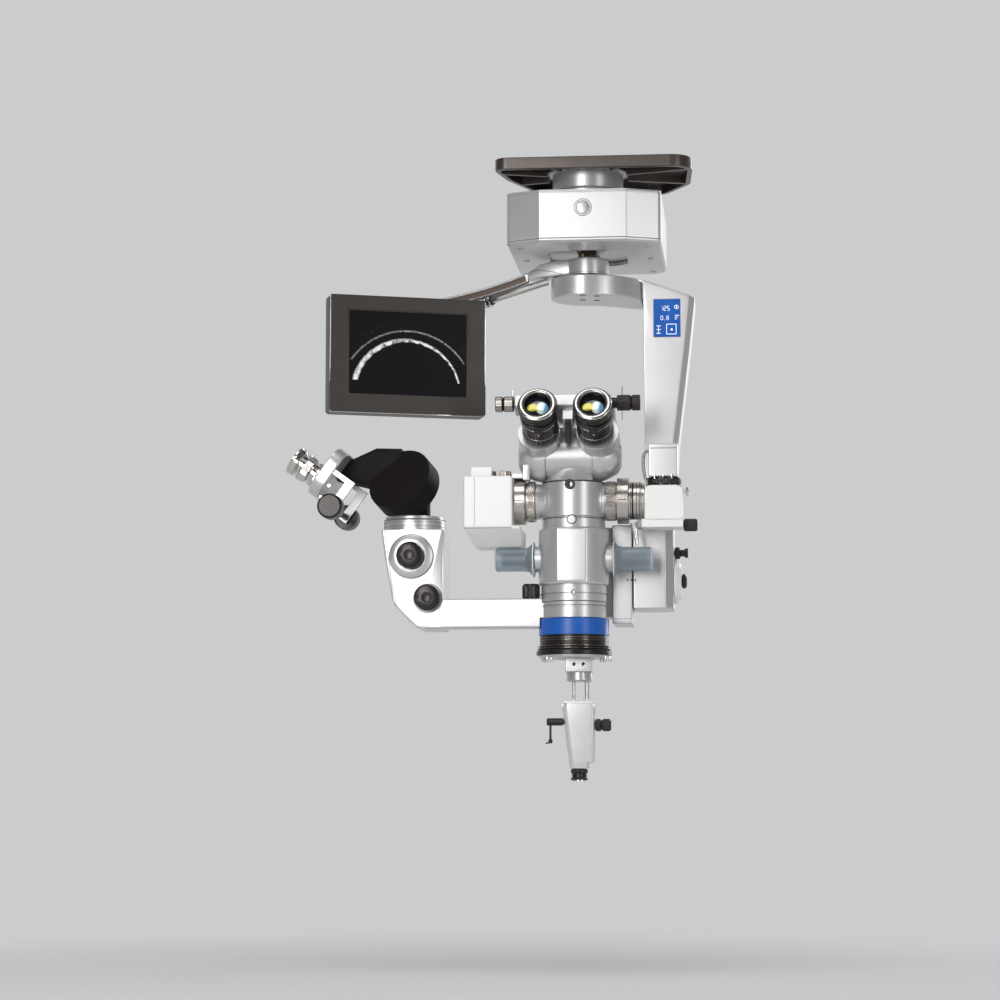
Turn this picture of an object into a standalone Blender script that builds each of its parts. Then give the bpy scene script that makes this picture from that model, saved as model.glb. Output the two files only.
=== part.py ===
"""Surgical microscope hung from a stand head, with its coupling, monitor and side scopes.

Every length here is in millimetres, and the builders turn it into metres.
The origin is the centre of the flat top of the stand head, +Z is up and the surgeon sits at -Y.
Each moving group hangs from an empty that stands on its joint's axis.
"""
import math

import bmesh
import bpy
from mathutils import Euler, Vector

MM = 0.001
GAP = 0.3          # clearance between separate pieces
SLIDE_GAP = 0.4    # clearance of pieces that slide on each other
SEAT_GAP = 0.1     # clearance of pieces seated on each other
MOST_FACETS = 28   # facets round the largest turned pieces

# Stand head and neck
HEAD_FRONT = -58.0
HEAD_BACK = 92.0
HEAD_LEFT = -107.0
HEAD_RIGHT = 124.0
HEAD_BACK_LEFT = -58.0
HEAD_BACK_RIGHT = 88.0
HEAD_HEIGHT = 14.0
HEAD_ROOF = 5.0
HEAD_WALL = 6.0
HEAD_BOSS_RADIUS = 48.0
HEAD_BOSS_FACE = -10.0
HEAD_RIBS = 10
NECK_RADIUS = 41.0
NECK_FOOT = -31.0
SPINDLE_RADIUS = 27.0
NECK_BORE = 20.0
NUT_RADIUS = 34.0
NUT_HEIGHT = 5.0

# Coupling that shifts the microscope in X and Y
BOX_TOP = -47.0
BOX_BOTTOM = -107.5
BOX_HALF_WIDTH = 87.5
BOX_HALF_FACE = 49.0
BOX_FRONT = -95.0
BOX_SHOULDER = -79.0
BOX_BACK = 105.0
BOX_BACK_CHAMFER = 12.0
BOX_WALL = 4.0
BOX_ROOF = 5.0
BOX_LIP_DROP = 3.0
BOX_LIP_DEPTH = 0.8
COLLAR_RADIUS = 43.5
PLATE_THICKNESS = 4.5
PLATE_BEVEL = 2.4
OPENING_HALF = 45.0
OPENING_BACK = 50.0
OPENING_CORNER = 22.0
XY_TRAVEL = 25.0
CARRIAGE_HALF_X = 56.0
CARRIAGE_HALF_Y = 68.0
CARRIAGE_PLATE = 5.0
CARRIAGE_SLOT_X = 12.0
RAIL_OFFSET = 36.0
RAIL_WIDTH = 8.0
RAIL_HEIGHT = 12.0
BLOCK_HALF_Y = 42.0
BLOCK_HEIGHT = 20.0
SHAFT_RADIUS = 9.0
SHAFT_HEAD = 15.0

# Monitor arm
HUB_RADIUS = 24.0
HUB_TOP = -110.5
HUB_BOTTOM = -129.5
ELBOW_REACH = 70.0
BLADE_END = (-206.0, 40.0, -150.0)
BLADE_WIDTH = 16.0
BLADE_DEPTH = 10.0
TUBE_RADIUS = 4.2
MONITOR_CENTRE = (-205.0, -35.0, -224.2)
MONITOR_YAW = 20.0
MONITOR_WIDTH = 184.0
MONITOR_HEIGHT = 136.5
MONITOR_DEPTH = 24.0
MONITOR_CORNER = 4.0
MONITOR_BACK_DEPTH = 12.0
SCREEN_WIDTH = 138.0
SCREEN_HEIGHT = 96.0
SCREEN_RECESS = 3.0
SCREEN_UP = 2.0
YOKE_RADIUS = 9.0
TILT_PIN_RADIUS = 5.0

# Arm that carries the microscope
BEAM_TOP = -133.0
BEAM_BOTTOM = -157.0
BEAM_END_X = 43.0
BEAM_END_Y = 38.0
BEAM_SEAM = 61.5
UPRIGHT_LEFT = 63.1
UPRIGHT_WIDE = 122.3
UPRIGHT_TOP = -133.5
UPRIGHT_DROP = 20.5
UPRIGHT_FRONT = 4.0
UPRIGHT_DEPTH = 66.0
UPRIGHT_CHAMFER = 7.0
HOUSING_LEFT = 51.0
HOUSING_RIGHT = 96.5
HOUSING_TOP = -424.0
HOUSING_BOTTOM = -515.0
HOUSING_FRONT = -13.0
HOUSING_BACK = 56.0
HOUSING_CHAMFER = 9.0
DISPLAY_WIDTH = 31.0
DISPLAY_HEIGHT = 44.5
DISPLAY_THICKNESS = 1.6
DISPLAY_CENTRE = (90.5, -178.5)
TILT_Y = 20.0
TILT_Z = -482.0
TILT_SHAFT_RADIUS = 13.0
DISC_RADIUS = 26.5
DISC_THICKNESS = 8.0
TILT_KNOB_RADIUS = 8.0
TILT_KNOB_LENGTH = 6.0
LOCK_RADIUS = 6.5
LOCK_RISE = 32.4

# Tilt carriage and focusing drive
CARRIAGE_RIGHT = 49.7
CHEEK_LEFT = 27.0
CARRIAGE_TOP = -420.0
CARRIAGE_FOOT = -532.5
CHEEK_FRONT = -15.0
CARRIAGE_BACK = 52.0
GUIDE_LEFT = -46.0
GUIDE_FRONT = 12.0
GUIDE_WALL = 7.0
GUIDE_FOOT = -524.0
SLIDE_HALF = 20.0
SLIDE_NECK = 12.0
SLIDE_DEPTH = 12.0
SLIDE_TOP = -452.0
SLIDE_FOOT = -492.0

# Microscope column, all turned about one optical axis
AXIS_X = -14.5
AXIS_Y = -45.0
CROSS_TOP = -375.5
CROSS_FOOT = -416.5
CROSS_RADIUS = 35.7
CROSS_PORT_RADIUS = 20.2
PORT_Z = -396.0
PORT_LEFT = -56.5
PORT_RIGHT = 21.5
RING_FOOT = -428.3
ZOOM_RADIUS = 39.6
ZOOM_FOOT = -491.3
ZOOM_FLAT = 36.5
LOWER_RADIUS = 37.0
LOWER_FOOT = -510.2
LOWER_NECK = 27.0
SWING_RING_RADIUS = 36.4
SWING_RING_FOOT = -529.2
BLUE_RADIUS = 39.4
BLUE_FOOT = -548.2
BLUE_BORE = 31.0
BLACK_RADIUS = 38.5
FLANGE_RADIUS = 42.5
BLACK_FOOT = -570.0
LENS_RADIUS = 30.0

# Hand knobs under silicone caps
CAP_Z = -461.5
CAP_RADIUS = 13.4
CAP_FLANGE_RADIUS = 19.6
CAP_WALL = 1.8
CAP_LENGTH = 45.0
CAP_FLANGE_WIDTH = 9.0
GRIP_RADIUS = 10.5
GRIP_SEAT_RADIUS = 15.0

# Binocular tube
BINO_X = -18.3
BINO_AXIS_Z = -345.5
BINO_TILT = 25.0
DRUM_RADIUS = 28.5
DRUM_HALF = 26.5
SIDE_WIDTH = 31.0
PUPIL_HALF = 30.6
TUBE_OFFSET = 9.0
BARREL_RADIUS = 20.6
BARREL_START = 36.0
BARREL_LENGTH = 43.0
EYECUP_RADIUS = 21.8
EYECUP_LENGTH = 13.0
EYE_LENS_RADIUS = 14.5
SPINDLE_BAR_RADIUS = 4.0
SPINDLE_ALONG = 52.0
SPINDLE_ABOVE = 38.7
PD_LEFT_END = -100.2
PD_RIGHT_END = 62.7
BRIDGE_LEFT = -78.5
BRIDGE_RIGHT = 29.5
BRIDGE_LOW = 31.4
BRIDGE_HIGH = 46.7
BRIDGE_START = 38.0
BRIDGE_END = 60.0
PD_KNOB_RADIUS = 8.6
PD_INWARD = 3.0

# Cameras on the two side ports
SCAN_FRONT = -83.0
SCAN_LEFT = -136.0
SCAN_RIGHT = -81.0
SCAN_TOP = -369.8
SCAN_WAIST = -428.6
SCAN_FOOT = -447.5
SCAN_BACK = -8.0
ADAPTER_LEFT = 66.0
ADAPTER_RIGHT = 108.8
ADAPTER_TOP = -380.3
ADAPTER_FOOT = -427.5
CAMERA_WIDTH = 33.0
CAMERA_TOP = -332.7
CAMERA_FOOT = -369.0
COLLAR_HEIGHT = 9.0

# Assistant scope
ASSIST_ARM_TOP = -506.3
ASSIST_ARM_FOOT = -539.4
ASSIST_FRONT = -60.0
ASSIST_ARM_DEPTH = 30.0
ASSIST_DEPTH = 70.0
ASSIST_MID = ASSIST_FRONT + ASSIST_DEPTH / 2
ASSIST_TOP = -426.5
ASSIST_RIGHT = -161.5
CLAMP_X = -63.0
HEAD_PIN_RADIUS = 14.0
HEAD_AXIS_X = -198.0
HEAD_RING_RADIUS = 35.0
HEAD_RING_TOP = -411.0
DIAL_CENTRE = (-197.5, -457.8)
DIAL_RADIUS = 25.0
DIAL_KNOB_RADIUS = 14.6
LOWER_KNOB = (-178.5, -505.3)
LOWER_KNOB_RADIUS = 14.4
PRISM_RADIUS = 39.0
PRISM_FACE = (-211.8, -60.0, -369.2)
PRISM_THICKNESS = 26.0
PRISM_YAW = -25.3
PRISM_PITCH = 62.6
SIDE_ORIGIN = (-295.6, -394.6)
SIDE_PUPIL_HALF = 30.6
SIDE_PLATE_START = 9.0
SIDE_PLATE_THICKNESS = 14.0
SIDE_SPINDLE = (-13.4, -1.3)
SIDE_SPINDLE_HALF = 73.0
SIDE_STRAP = 50.0
SIDE_TUBE_SLOPE = 36.0

# Viewer under the objective
VIEWER_X = -8.6
VIEWER_BLOCK = 30.0
VIEWER_BLOCK_FOOT = -589.3
VIEWER_COLLAR_FOOT = -599.4
VIEWER_RODS = (("thin", 2.0, -6.3), ("thick", 2.8, 8.6))
ROD_FOOT = -664.0
HOUSE_TOP = -622.0
HOUSE_FOOT = -696.3
HOUSE_WIDTH = 36.0
VIEWER_LENS_FOOT = -710.0
PIN_SPREAD = 32.3

SILVER = ("silver_lacquer", (0.62, 0.62, 0.64), 0.38, 0.45)
LIGHT = ("light_lacquer", (0.80, 0.80, 0.80), 0.40, 0.10)
WHITE = ("white_lacquer", (0.88, 0.88, 0.87), 0.42, 0.0)
STEEL = ("bright_steel", (0.70, 0.68, 0.66), 0.22, 1.0)
BLACK = ("black_anodised", (0.035, 0.028, 0.026), 0.35, 0.3)
BLUE = ("blue_ring", (0.01, 0.12, 0.48), 0.32, 0.1)
GREY = ("warm_grey_plastic", (0.22, 0.20, 0.19), 0.45, 0.0)
GLASS = ("coated_glass", (0.10, 0.13, 0.16), 0.05, 0.0)
SCREEN = ("black_screen", (0.01, 0.01, 0.012), 0.15, 0.0)
SILICONE = ("silicone", (0.36, 0.45, 0.52), 0.30, 0.0)
CORD = ("grey_cord", (0.45, 0.45, 0.45), 0.50, 0.0)

FACING = {
    "up": (0.0, 0.0, 0.0),
    "down": (math.pi, 0.0, 0.0),
    "right": (0.0, math.pi / 2, 0.0),
    "left": (0.0, -math.pi / 2, 0.0),
    "front": (math.pi / 2, 0.0, 0.0),
    "back": (-math.pi / 2, 0.0, 0.0),
}


# Builders shared by all the pieces

def clear_scene():
    """Remove whatever the open file holds."""
    for thing in list(bpy.data.objects):
        bpy.data.objects.remove(thing, do_unlink=True)


def finish(look):
    """Return the material of a look, made once."""
    name, colour, roughness, metallic = look
    found = bpy.data.materials.get(name)
    if found:
        return found
    made = bpy.data.materials.new(name)
    made.use_nodes = True
    shader = made.node_tree.nodes["Principled BSDF"]
    shader.inputs["Base Color"].default_value = (*colour, 1.0)
    shader.inputs["Roughness"].default_value = roughness
    shader.inputs["Metallic"].default_value = metallic
    made.diffuse_color = (*colour, 1.0)
    return made


def pivot(name, place, parent=None):
    """Make an empty at a world place, for the pieces that move together."""
    empty = bpy.data.objects.new(name, None)
    bpy.context.collection.objects.link(empty)
    empty.empty_display_size = 0.02
    origin = Vector((0.0, 0.0, 0.0))
    if parent:
        empty.parent = parent
        origin = Vector(parent["place"])
    empty["place"] = [v * MM for v in place]
    empty.location = Vector(place) * MM - origin
    return empty


def put(bm, name, look, body, place, turn=(0.0, 0.0, 0.0), smooth=True):
    """Turn a bmesh into a piece that hangs from its body's empty."""
    bmesh.ops.remove_doubles(bm, verts=bm.verts, dist=0.00001)
    bmesh.ops.recalc_face_normals(bm, faces=bm.faces)
    mesh = bpy.data.meshes.new(name)
    bm.to_mesh(mesh)
    bm.free()
    piece = bpy.data.objects.new(name, mesh)
    bpy.context.collection.objects.link(piece)
    mesh.materials.append(finish(look))
    if smooth:
        mesh.shade_smooth()
        mesh.set_sharp_from_angle(angle=math.radians(35))
    origin = Vector((0.0, 0.0, 0.0))
    if body:
        piece.parent = body
        origin = Vector(body["place"])
    piece.location = Vector(place) * MM - origin
    piece.rotation_euler = turn
    return piece


def soften(piece, width, segments=2, angle=35):
    """Round the sharp edges of a piece."""
    step = piece.modifiers.new("Round edges", "BEVEL")
    step.width = width * MM
    step.segments = segments
    step.limit_method = "ANGLE"
    step.angle_limit = math.radians(angle)
    step.use_clamp_overlap = True
    step.harden_normals = False
    return piece


def combine(piece, tool, operation, solver="EXACT"):
    """Join a helper solid to a piece, or cut it away."""
    step = piece.modifiers.new(operation.title(), "BOOLEAN")
    step.operation = operation
    step.solver = solver
    step.object = tool
    tool.hide_render = True
    tool.display_type = "WIRE"
    return piece


def cut(piece, *tools, solver="EXACT"):
    """Cut helper solids away from a piece."""
    for tool in tools:
        combine(piece, tool, "DIFFERENCE", solver)
    return piece


def add(piece, *tools):
    """Fuse helper solids to a piece."""
    for tool in tools:
        combine(piece, tool, "UNION")
    return piece


def facets_round(radius):
    """Facets round a piece: more on a larger one, always a multiple of four."""
    return max(12, min(MOST_FACETS, 4 * round(1.1 * math.sqrt(radius))))


def turned_mesh(profile, facets):
    """Spin a (radius, height) profile round local Z into a closed solid."""
    facets = facets or facets_round(max(radius for radius, _ in profile))
    bm = bmesh.new()
    points = [bm.verts.new((r * MM, 0.0, h * MM)) for r, h in profile]
    edges = [bm.edges.new(pair) for pair in zip(points, points[1:])]
    bmesh.ops.spin(bm, geom=points + edges, cent=(0, 0, 0), axis=(0, 0, 1),
                   dvec=(0, 0, 0), angle=2 * math.pi, steps=facets, use_merge=True)
    bmesh.ops.remove_doubles(bm, verts=bm.verts, dist=0.00001)
    loose = [edge for edge in bm.edges if not edge.link_faces]
    bmesh.ops.delete(bm, geom=loose, context="EDGES")
    return bm


def turned(name, profile, look, body, place, facing="up", facets=None, turn=None):
    """Make a solid of revolution whose local Z points the way it faces."""
    first, last = profile[0], profile[-1]
    line = [(0.0, first[1])] + list(profile) + [(0.0, last[1])]
    angle = FACING[facing] if turn is None else turn
    return put(turned_mesh(line, facets), name, look, body, place, angle)


def ringed(name, profile, look, body, place, facing="up", facets=None, turn=None):
    """Make a ring from a closed (radius, height) profile."""
    angle = FACING[facing] if turn is None else turn
    line = list(profile) + [profile[0]]
    return put(turned_mesh(line, facets), name, look, body, place, angle)


def tube(name, outer, inner, length, look, body, place, facing="up", facets=None, turn=None):
    """Make a plain tube that starts at its place."""
    profile = [(inner, 0.0), (outer, 0.0), (outer, length), (inner, length)]
    return ringed(name, profile, look, body, place, facing, facets, turn)


def rod(name, radius, length, look, body, place, facing="up", facets=None, turn=None):
    """Make a plain round bar that starts at its place."""
    return turned(name, [(radius, 0.0), (radius, length)], look, body, place, facing,
                  facets, turn)


def block(name, low, high, look, body, turn=(0.0, 0.0, 0.0), place=None):
    """Make a box between two corners, counted from its place when one is given."""
    bm = bmesh.new()
    bmesh.ops.create_cube(bm, size=1.0)
    size = [(b - a) * MM for a, b in zip(low, high)]
    bmesh.ops.scale(bm, vec=size, verts=bm.verts)
    centre = [(a + b) / 2 for a, b in zip(low, high)]
    if place is None:
        return put(bm, name, look, body, centre, turn, smooth=False)
    bmesh.ops.translate(bm, vec=[c * MM for c in centre], verts=bm.verts)
    return put(bm, name, look, body, place, turn, smooth=False)


def slab(name, outline, thickness, look, body, place, facing="up", turn=None):
    """Extrude a flat outline from its place along the way it faces."""
    bm = bmesh.new()
    corners = [bm.verts.new((x * MM, y * MM, 0.0)) for x, y in outline]
    face = bm.faces.new(corners)
    grown = bmesh.ops.extrude_face_region(bm, geom=[face])
    moved = [v for v in grown["geom"] if isinstance(v, bmesh.types.BMVert)]
    bmesh.ops.translate(bm, vec=(0, 0, thickness * MM), verts=moved)
    angle = FACING[facing] if turn is None else turn
    return put(bm, name, look, body, place, angle)


def loft(name, sections, look, body, place, turn=(0.0, 0.0, 0.0)):
    """Bridge closed loops of equal count into a capped solid."""
    bm = bmesh.new()
    loops = [[bm.verts.new(Vector(p) * MM) for p in loop] for loop in sections]
    for low, high in zip(loops, loops[1:]):
        count = len(low)
        for i in range(count):
            j = (i + 1) % count
            bm.faces.new((low[i], low[j], high[j], high[i]))
    bm.faces.new(loops[0])
    bm.faces.new(loops[-1])
    return put(bm, name, look, body, place, turn)


def rounded(corners, radii, steps=4):
    """Replace each corner of an outline by an arc of the given radius."""
    count = len(corners)
    if not isinstance(radii, (list, tuple)):
        radii = [radii] * count
    line = []
    for i, (x, y) in enumerate(corners):
        here = Vector((x, y))
        before = (Vector(corners[i - 1]) - here).normalized()
        after = (Vector(corners[(i + 1) % count]) - here).normalized()
        radius = radii[i]
        if radius <= 0:
            line.append((x, y))
            continue
        half = before.angle(after) / 2
        centre = here + (before + after).normalized() * (radius / math.sin(half))
        start = here + before * (radius / math.tan(half))
        end = here + after * (radius / math.tan(half))
        a, b = start - centre, end - centre
        sweep = math.atan2(a.cross(b), a.dot(b))
        for k in range(steps + 1):
            angle = sweep * k / steps
            c, s = math.cos(angle), math.sin(angle)
            line.append((centre.x + a.x * c - a.y * s, centre.y + a.x * s + a.y * c))
    return line


def oblong(width, height, corner, steps=4):
    """Outline of a rounded rectangle about the origin, counter-clockwise."""
    w, h = width / 2, height / 2
    return rounded([(-w, -h), (w, -h), (w, h), (-w, h)], corner, steps)


def circle(radius, facets=20, centre=(0.0, 0.0)):
    """Outline of a circle."""
    return [(centre[0] + radius * math.cos(2 * math.pi * k / facets),
             centre[1] + radius * math.sin(2 * math.pi * k / facets)) for k in range(facets)]


def inset(outline, distance):
    """Move a counter-clockwise convex outline inward by a distance."""
    result = []
    count = len(outline)
    for i in range(count):
        a, b, c = (Vector(outline[(i + k - 1) % count]) for k in range(3))
        one, two = (b - a).normalized(), (c - b).normalized()
        normal = Vector((-one.y, one.x)) + Vector((-two.y, two.x))
        normal.normalize()
        lean = max(normal.dot(Vector((-one.y, one.x))), 0.2)
        moved = b + normal * (distance / lean)
        result.append((moved.x, moved.y))
    return result


def knob_profile(radius, length, edge=1.0):
    """Profile of a knob with softened rims, from its seat outward."""
    return [(radius - edge, 0.0), (radius, edge), (radius, length - edge),
            (radius - edge, length)]


def scalloped(radius, depth, lobes, steps=4):
    """Outline of a grip with rounded lobes round its rim."""
    count = lobes * steps
    return [((radius - depth * (0.5 - 0.5 * math.cos(2 * math.pi * k / steps)))
             * math.cos(2 * math.pi * k / count),
             (radius - depth * (0.5 - 0.5 * math.cos(2 * math.pi * k / steps)))
             * math.sin(2 * math.pi * k / count)) for k in range(count)]


# Stand head and neck

def head_outline(shrink=0.0):
    """Plan of the wide end of the stand arm, narrower behind."""
    corners = [(HEAD_LEFT, HEAD_FRONT), (HEAD_RIGHT, HEAD_FRONT),
               (HEAD_RIGHT - 6, 40.0), (HEAD_BACK_RIGHT, HEAD_BACK),
               (HEAD_BACK_LEFT, HEAD_BACK), (HEAD_LEFT + 12, 0.0)]
    radii = [max(radius - shrink, 1.0) for radius in (14, 26, 22, 14, 14, 20)]
    return rounded(inset(corners, shrink), radii)


def stand_head(body):
    """Cast head with a ribbed underside that the neck hangs from."""
    head = slab("stand_head", head_outline(), HEAD_HEIGHT, SILVER, body, (0, 0, -HEAD_HEIGHT))
    soften(head, 1.5, 2, 60)
    pocket = slab("head_pocket", head_outline(HEAD_WALL), HEAD_HEIGHT - HEAD_ROOF, SILVER,
                  body, (0, 0, -HEAD_HEIGHT - 0.01))
    cut(pocket, rod("head_boss", HEAD_BOSS_RADIUS, 30, SILVER, body, (0, 0, -25)))
    for k in range(HEAD_RIBS):
        angle = 2 * math.pi * (k + 0.5) / HEAD_RIBS
        rib = block(f"head_rib_{k}", (0, -2, -25), (130, 2, -5), SILVER, body, (0, 0, angle),
                    (0, 0, 0))
        cut(pocket, rib)
    cut(head, pocket)
    cut(head, rod("boss_face", HEAD_BOSS_RADIUS + 1, 6, SILVER, body,
                  (0, 0, HEAD_BOSS_FACE - 6)))
    return add(head, neck(body))


def neck(body):
    """Hollow turned neck, with the spindle that the coupling swings on and its nut."""
    top = HEAD_BOSS_FACE + 2
    nut_top = BOX_TOP - BOX_ROOF - GAP
    return ringed("neck_hollow", [
        (NECK_BORE, top), (NECK_RADIUS, top), (NECK_RADIUS, NECK_FOOT),
        (SPINDLE_RADIUS, NECK_FOOT), (SPINDLE_RADIUS, nut_top), (NUT_RADIUS, nut_top),
        (NUT_RADIUS, nut_top - NUT_HEIGHT), (NECK_BORE, nut_top - NUT_HEIGHT)],
        SILVER, body, (0, 0, 0))


# Coupling

def box_outline(shrink=0.0):
    """Plan of the coupling: a broad front face with two slanted cheeks."""
    back = BOX_BACK_CHAMFER
    corners = [(-BOX_HALF_FACE, BOX_FRONT), (BOX_HALF_FACE, BOX_FRONT),
               (BOX_HALF_WIDTH, BOX_SHOULDER), (BOX_HALF_WIDTH, BOX_BACK - back),
               (BOX_HALF_WIDTH - back, BOX_BACK), (back - BOX_HALF_WIDTH, BOX_BACK),
               (-BOX_HALF_WIDTH, BOX_BACK - back), (-BOX_HALF_WIDTH, BOX_SHOULDER)]
    radii = [max(radius - shrink, 1.0) for radius in (3, 3, 6, 6, 6, 6, 6, 6)]
    return rounded(inset(corners, shrink), radii, 3)


def xy_housing(body):
    """Open-bottomed housing with a swivel collar and a lip line round its top."""
    floor = BOX_BOTTOM + PLATE_THICKNESS
    housing = slab("xy_housing", box_outline(), BOX_TOP - floor, LIGHT, body, (0, 0, floor))
    soften(housing, 1.6, 2, 60)
    lip = slab("box_lip", box_outline(-2), 1.2, LIGHT, body,
               (0, 0, BOX_TOP - BOX_LIP_DROP - 1.2))
    cut(lip, slab("box_lip_core", box_outline(BOX_LIP_DEPTH), 4, LIGHT, body,
                  (0, 0, BOX_TOP - BOX_LIP_DROP - 3)))
    collar_height = NECK_FOOT - GAP - BOX_TOP
    collar = turned("box_collar", [(COLLAR_RADIUS, -1), (COLLAR_RADIUS, collar_height - 3),
                                   (NECK_RADIUS + 0.5, collar_height)], LIGHT, body,
                    (0, 0, BOX_TOP))
    add(housing, collar)
    inside = slab("box_inside", box_outline(BOX_WALL), BOX_TOP - BOX_ROOF - floor + 1,
                  LIGHT, body, (0, 0, floor - 1))
    bore = rod("box_bore", SPINDLE_RADIUS + SLIDE_GAP, 40, LIGHT, body, (0, 0, BOX_TOP - 15))
    return cut(housing, lip, inside, bore)


def opening_outline(half, back, corner, front=OPENING_HALF):
    """Outline of a rounded opening, longer behind than in front."""
    return rounded([(-half, -front), (half, -front), (half, back), (-half, back)], corner, 5)


def xy_base_plate(body):
    """Bottom plate with a bevelled rim and the opening that the shaft moves in."""
    levels = ((BOX_BOTTOM, PLATE_BEVEL), (BOX_BOTTOM + PLATE_BEVEL, 0.0),
              (BOX_BOTTOM + PLATE_THICKNESS - GAP, 0.0))
    plate = loft("xy_base_plate", [[(x, y, z) for x, y in box_outline(shrink)]
                                   for z, shrink in levels], LIGHT, body, (0, 0, 0))
    hole = slab("plate_hole", opening_outline(OPENING_HALF, OPENING_BACK, OPENING_CORNER), 20,
                LIGHT, body, (0, 0, BOX_BOTTOM - 8))
    return cut(plate, hole)


def x_carriage(body):
    """Plate that slides in X, with two rails for the carriage above it."""
    floor = BOX_BOTTOM + PLATE_THICKNESS + SLIDE_GAP
    plate = slab("x_carriage", oblong(2 * CARRIAGE_HALF_X, 2 * CARRIAGE_HALF_Y, 6, 2),
                 CARRIAGE_PLATE, STEEL, body, (0, 0, floor))
    reach = XY_TRAVEL + SHAFT_RADIUS + 1.5
    slot = slab("carriage_slot", oblong(2 * CARRIAGE_SLOT_X, 2 * reach, CARRIAGE_SLOT_X - 0.5), 20,
                STEEL, body, (0, 0, floor - 8))
    for side in (-1, 1):
        rail = block(f"rail_{side}", (-RAIL_WIDTH / 2, -CARRIAGE_HALF_Y + 2, 0),
                     (RAIL_WIDTH / 2, CARRIAGE_HALF_Y - 2, RAIL_HEIGHT + 1), STEEL, body,
                     place=(side * (RAIL_OFFSET + RAIL_WIDTH / 2), 0,
                            floor + CARRIAGE_PLATE - 1.0))
        add(plate, rail)
    return cut(plate, slot)


def y_carriage(body):
    """Block that slides in Y between the rails, with the hanging shaft pressed into it."""
    floor = BOX_BOTTOM + PLATE_THICKNESS + 2 * SLIDE_GAP + CARRIAGE_PLATE
    half = RAIL_OFFSET - SLIDE_GAP
    carriage = block("y_carriage", (-half, -BLOCK_HALF_Y, floor),
                     (half, BLOCK_HALF_Y, floor + BLOCK_HEIGHT), SILVER, body)
    soften(carriage, 1.5, 1)
    shaft = turned("hanger_shaft", [
        (SHAFT_RADIUS, BEAM_BOTTOM + 6), (SHAFT_RADIUS, HUB_TOP + GAP),
        (SHAFT_RADIUS + 4.5, HUB_TOP + GAP), (SHAFT_RADIUS + 4.5, HUB_TOP + 3),
        (SHAFT_RADIUS, HUB_TOP + 3), (SHAFT_RADIUS, floor + BLOCK_HEIGHT + 1),
        (SHAFT_HEAD, floor + BLOCK_HEIGHT + 1), (SHAFT_HEAD, floor + BLOCK_HEIGHT + 6)],
        STEEL, body, (0, 0, 0))
    return add(carriage, shaft)


# Monitor and its arm

def monitor_hub(body):
    """Hub ring with the short elbow that reaches out to the blade."""
    hub = ringed("monitor_hub", [
        (SHAFT_RADIUS + SLIDE_GAP, HUB_BOTTOM), (HUB_RADIUS, HUB_BOTTOM),
        (HUB_RADIUS, HUB_TOP - 1), (HUB_RADIUS - 1, HUB_TOP),
        (SHAFT_RADIUS + SLIDE_GAP, HUB_TOP)], LIGHT, body, (0, 0, 0))
    sections = []
    for x, y, z, wide, tall in ((-16, 4, -119.7, 15, 18.5), (-38, 6, -120.2, 14, 20),
                                (-56, 9, -122, 12, 16.5), (-ELBOW_REACH, 12, -126.5, 9, 7.5)):
        loop = oblong(wide * 2, tall, tall / 4, 2)
        sections.append([(x, y + u, z + v) for u, v in loop])
    elbow = loft("hub_elbow", sections, LIGHT, body, (0, 0, 0))
    bore = rod("hub_bore", SHAFT_RADIUS + SLIDE_GAP, 60, LIGHT, body, (0, 0, -150))
    add(hub, elbow)
    return cut(hub, bore)


def blade_point(t):
    """Centre of the blade's top at a share of its length, drooping like a bow."""
    start = Vector((-ELBOW_REACH - GAP, 12.0, -122.5))
    end = Vector(BLADE_END)
    bow = Vector((0.0, 0.0, -9.0)) * (4 * t * (1 - t)) * 0.5
    return start.lerp(end, t) + bow


def monitor_blade(body):
    """Bowed channel, open below, that carries the monitor."""
    sections = []
    wide, deep, wall = BLADE_WIDTH / 2, BLADE_DEPTH, 1.8
    for k in range(11):
        p = blade_point(k / 10)
        channel = [(-wide, -deep), (-wide, -1.5), (-wide + 1.5, 0), (wide - 1.5, 0),
                   (wide, -1.5), (wide, -deep), (wide - wall, -deep), (wide - wall, -wall),
                   (-wide + wall, -wall), (-wide + wall, -deep)]
        sections.append([(p.x, p.y + u, p.z + v) for u, v in channel])
    blade = loft("monitor_blade", sections, LIGHT, body, (0, 0, 0))
    end = blade_point(1.0)
    pad = rod("blade_pad", YOKE_RADIUS, BLADE_DEPTH, LIGHT, body,
              (end.x, end.y, end.z - BLADE_DEPTH))
    return add(blade, pad)


def cable_tube(body):
    """Conduit below the blade, with a bright joint ring near the monitor."""
    points = [(-46.5, 1.5, -134.2), (-54.0, 2.0, -136.0), (-62.0, 2.5, -138.3),
              (-76.0, 4.0, -142.6), (-92.0, 7.0, -146.8), (-107.0, 12.5, -150.4),
              (-118.0, 19.5, -153.4), (-130.3, 28.0, -155.4), (-148.0, 29.3, -155.8),
              (-158.0, 30.0, -150.8)]
    curve = bpy.data.curves.new("cable_tube", "CURVE")
    curve.dimensions = "3D"
    curve.bevel_depth = TUBE_RADIUS * MM
    curve.bevel_resolution = 3
    curve.resolution_u = 4
    curve.use_fill_caps = True
    line = curve.splines.new("NURBS")
    line.points.add(len(points) - 1)
    line.order_u = 4
    line.use_endpoint_u = True
    for slot, point in zip(line.points, points):
        slot.co = (*[v * MM for v in point], 1.0)
    piece = bpy.data.objects.new("cable_tube", curve)
    bpy.context.collection.objects.link(piece)
    curve.materials.append(finish(STEEL))
    piece.parent = body
    piece.location = -Vector(body["place"])
    return piece


def monitor_frame():
    """Unit vectors along the monitor's width and out of its front."""
    yaw = math.radians(MONITOR_YAW)
    return Vector((math.cos(yaw), math.sin(yaw), 0)), Vector((math.sin(yaw), -math.cos(yaw), 0))


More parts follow.
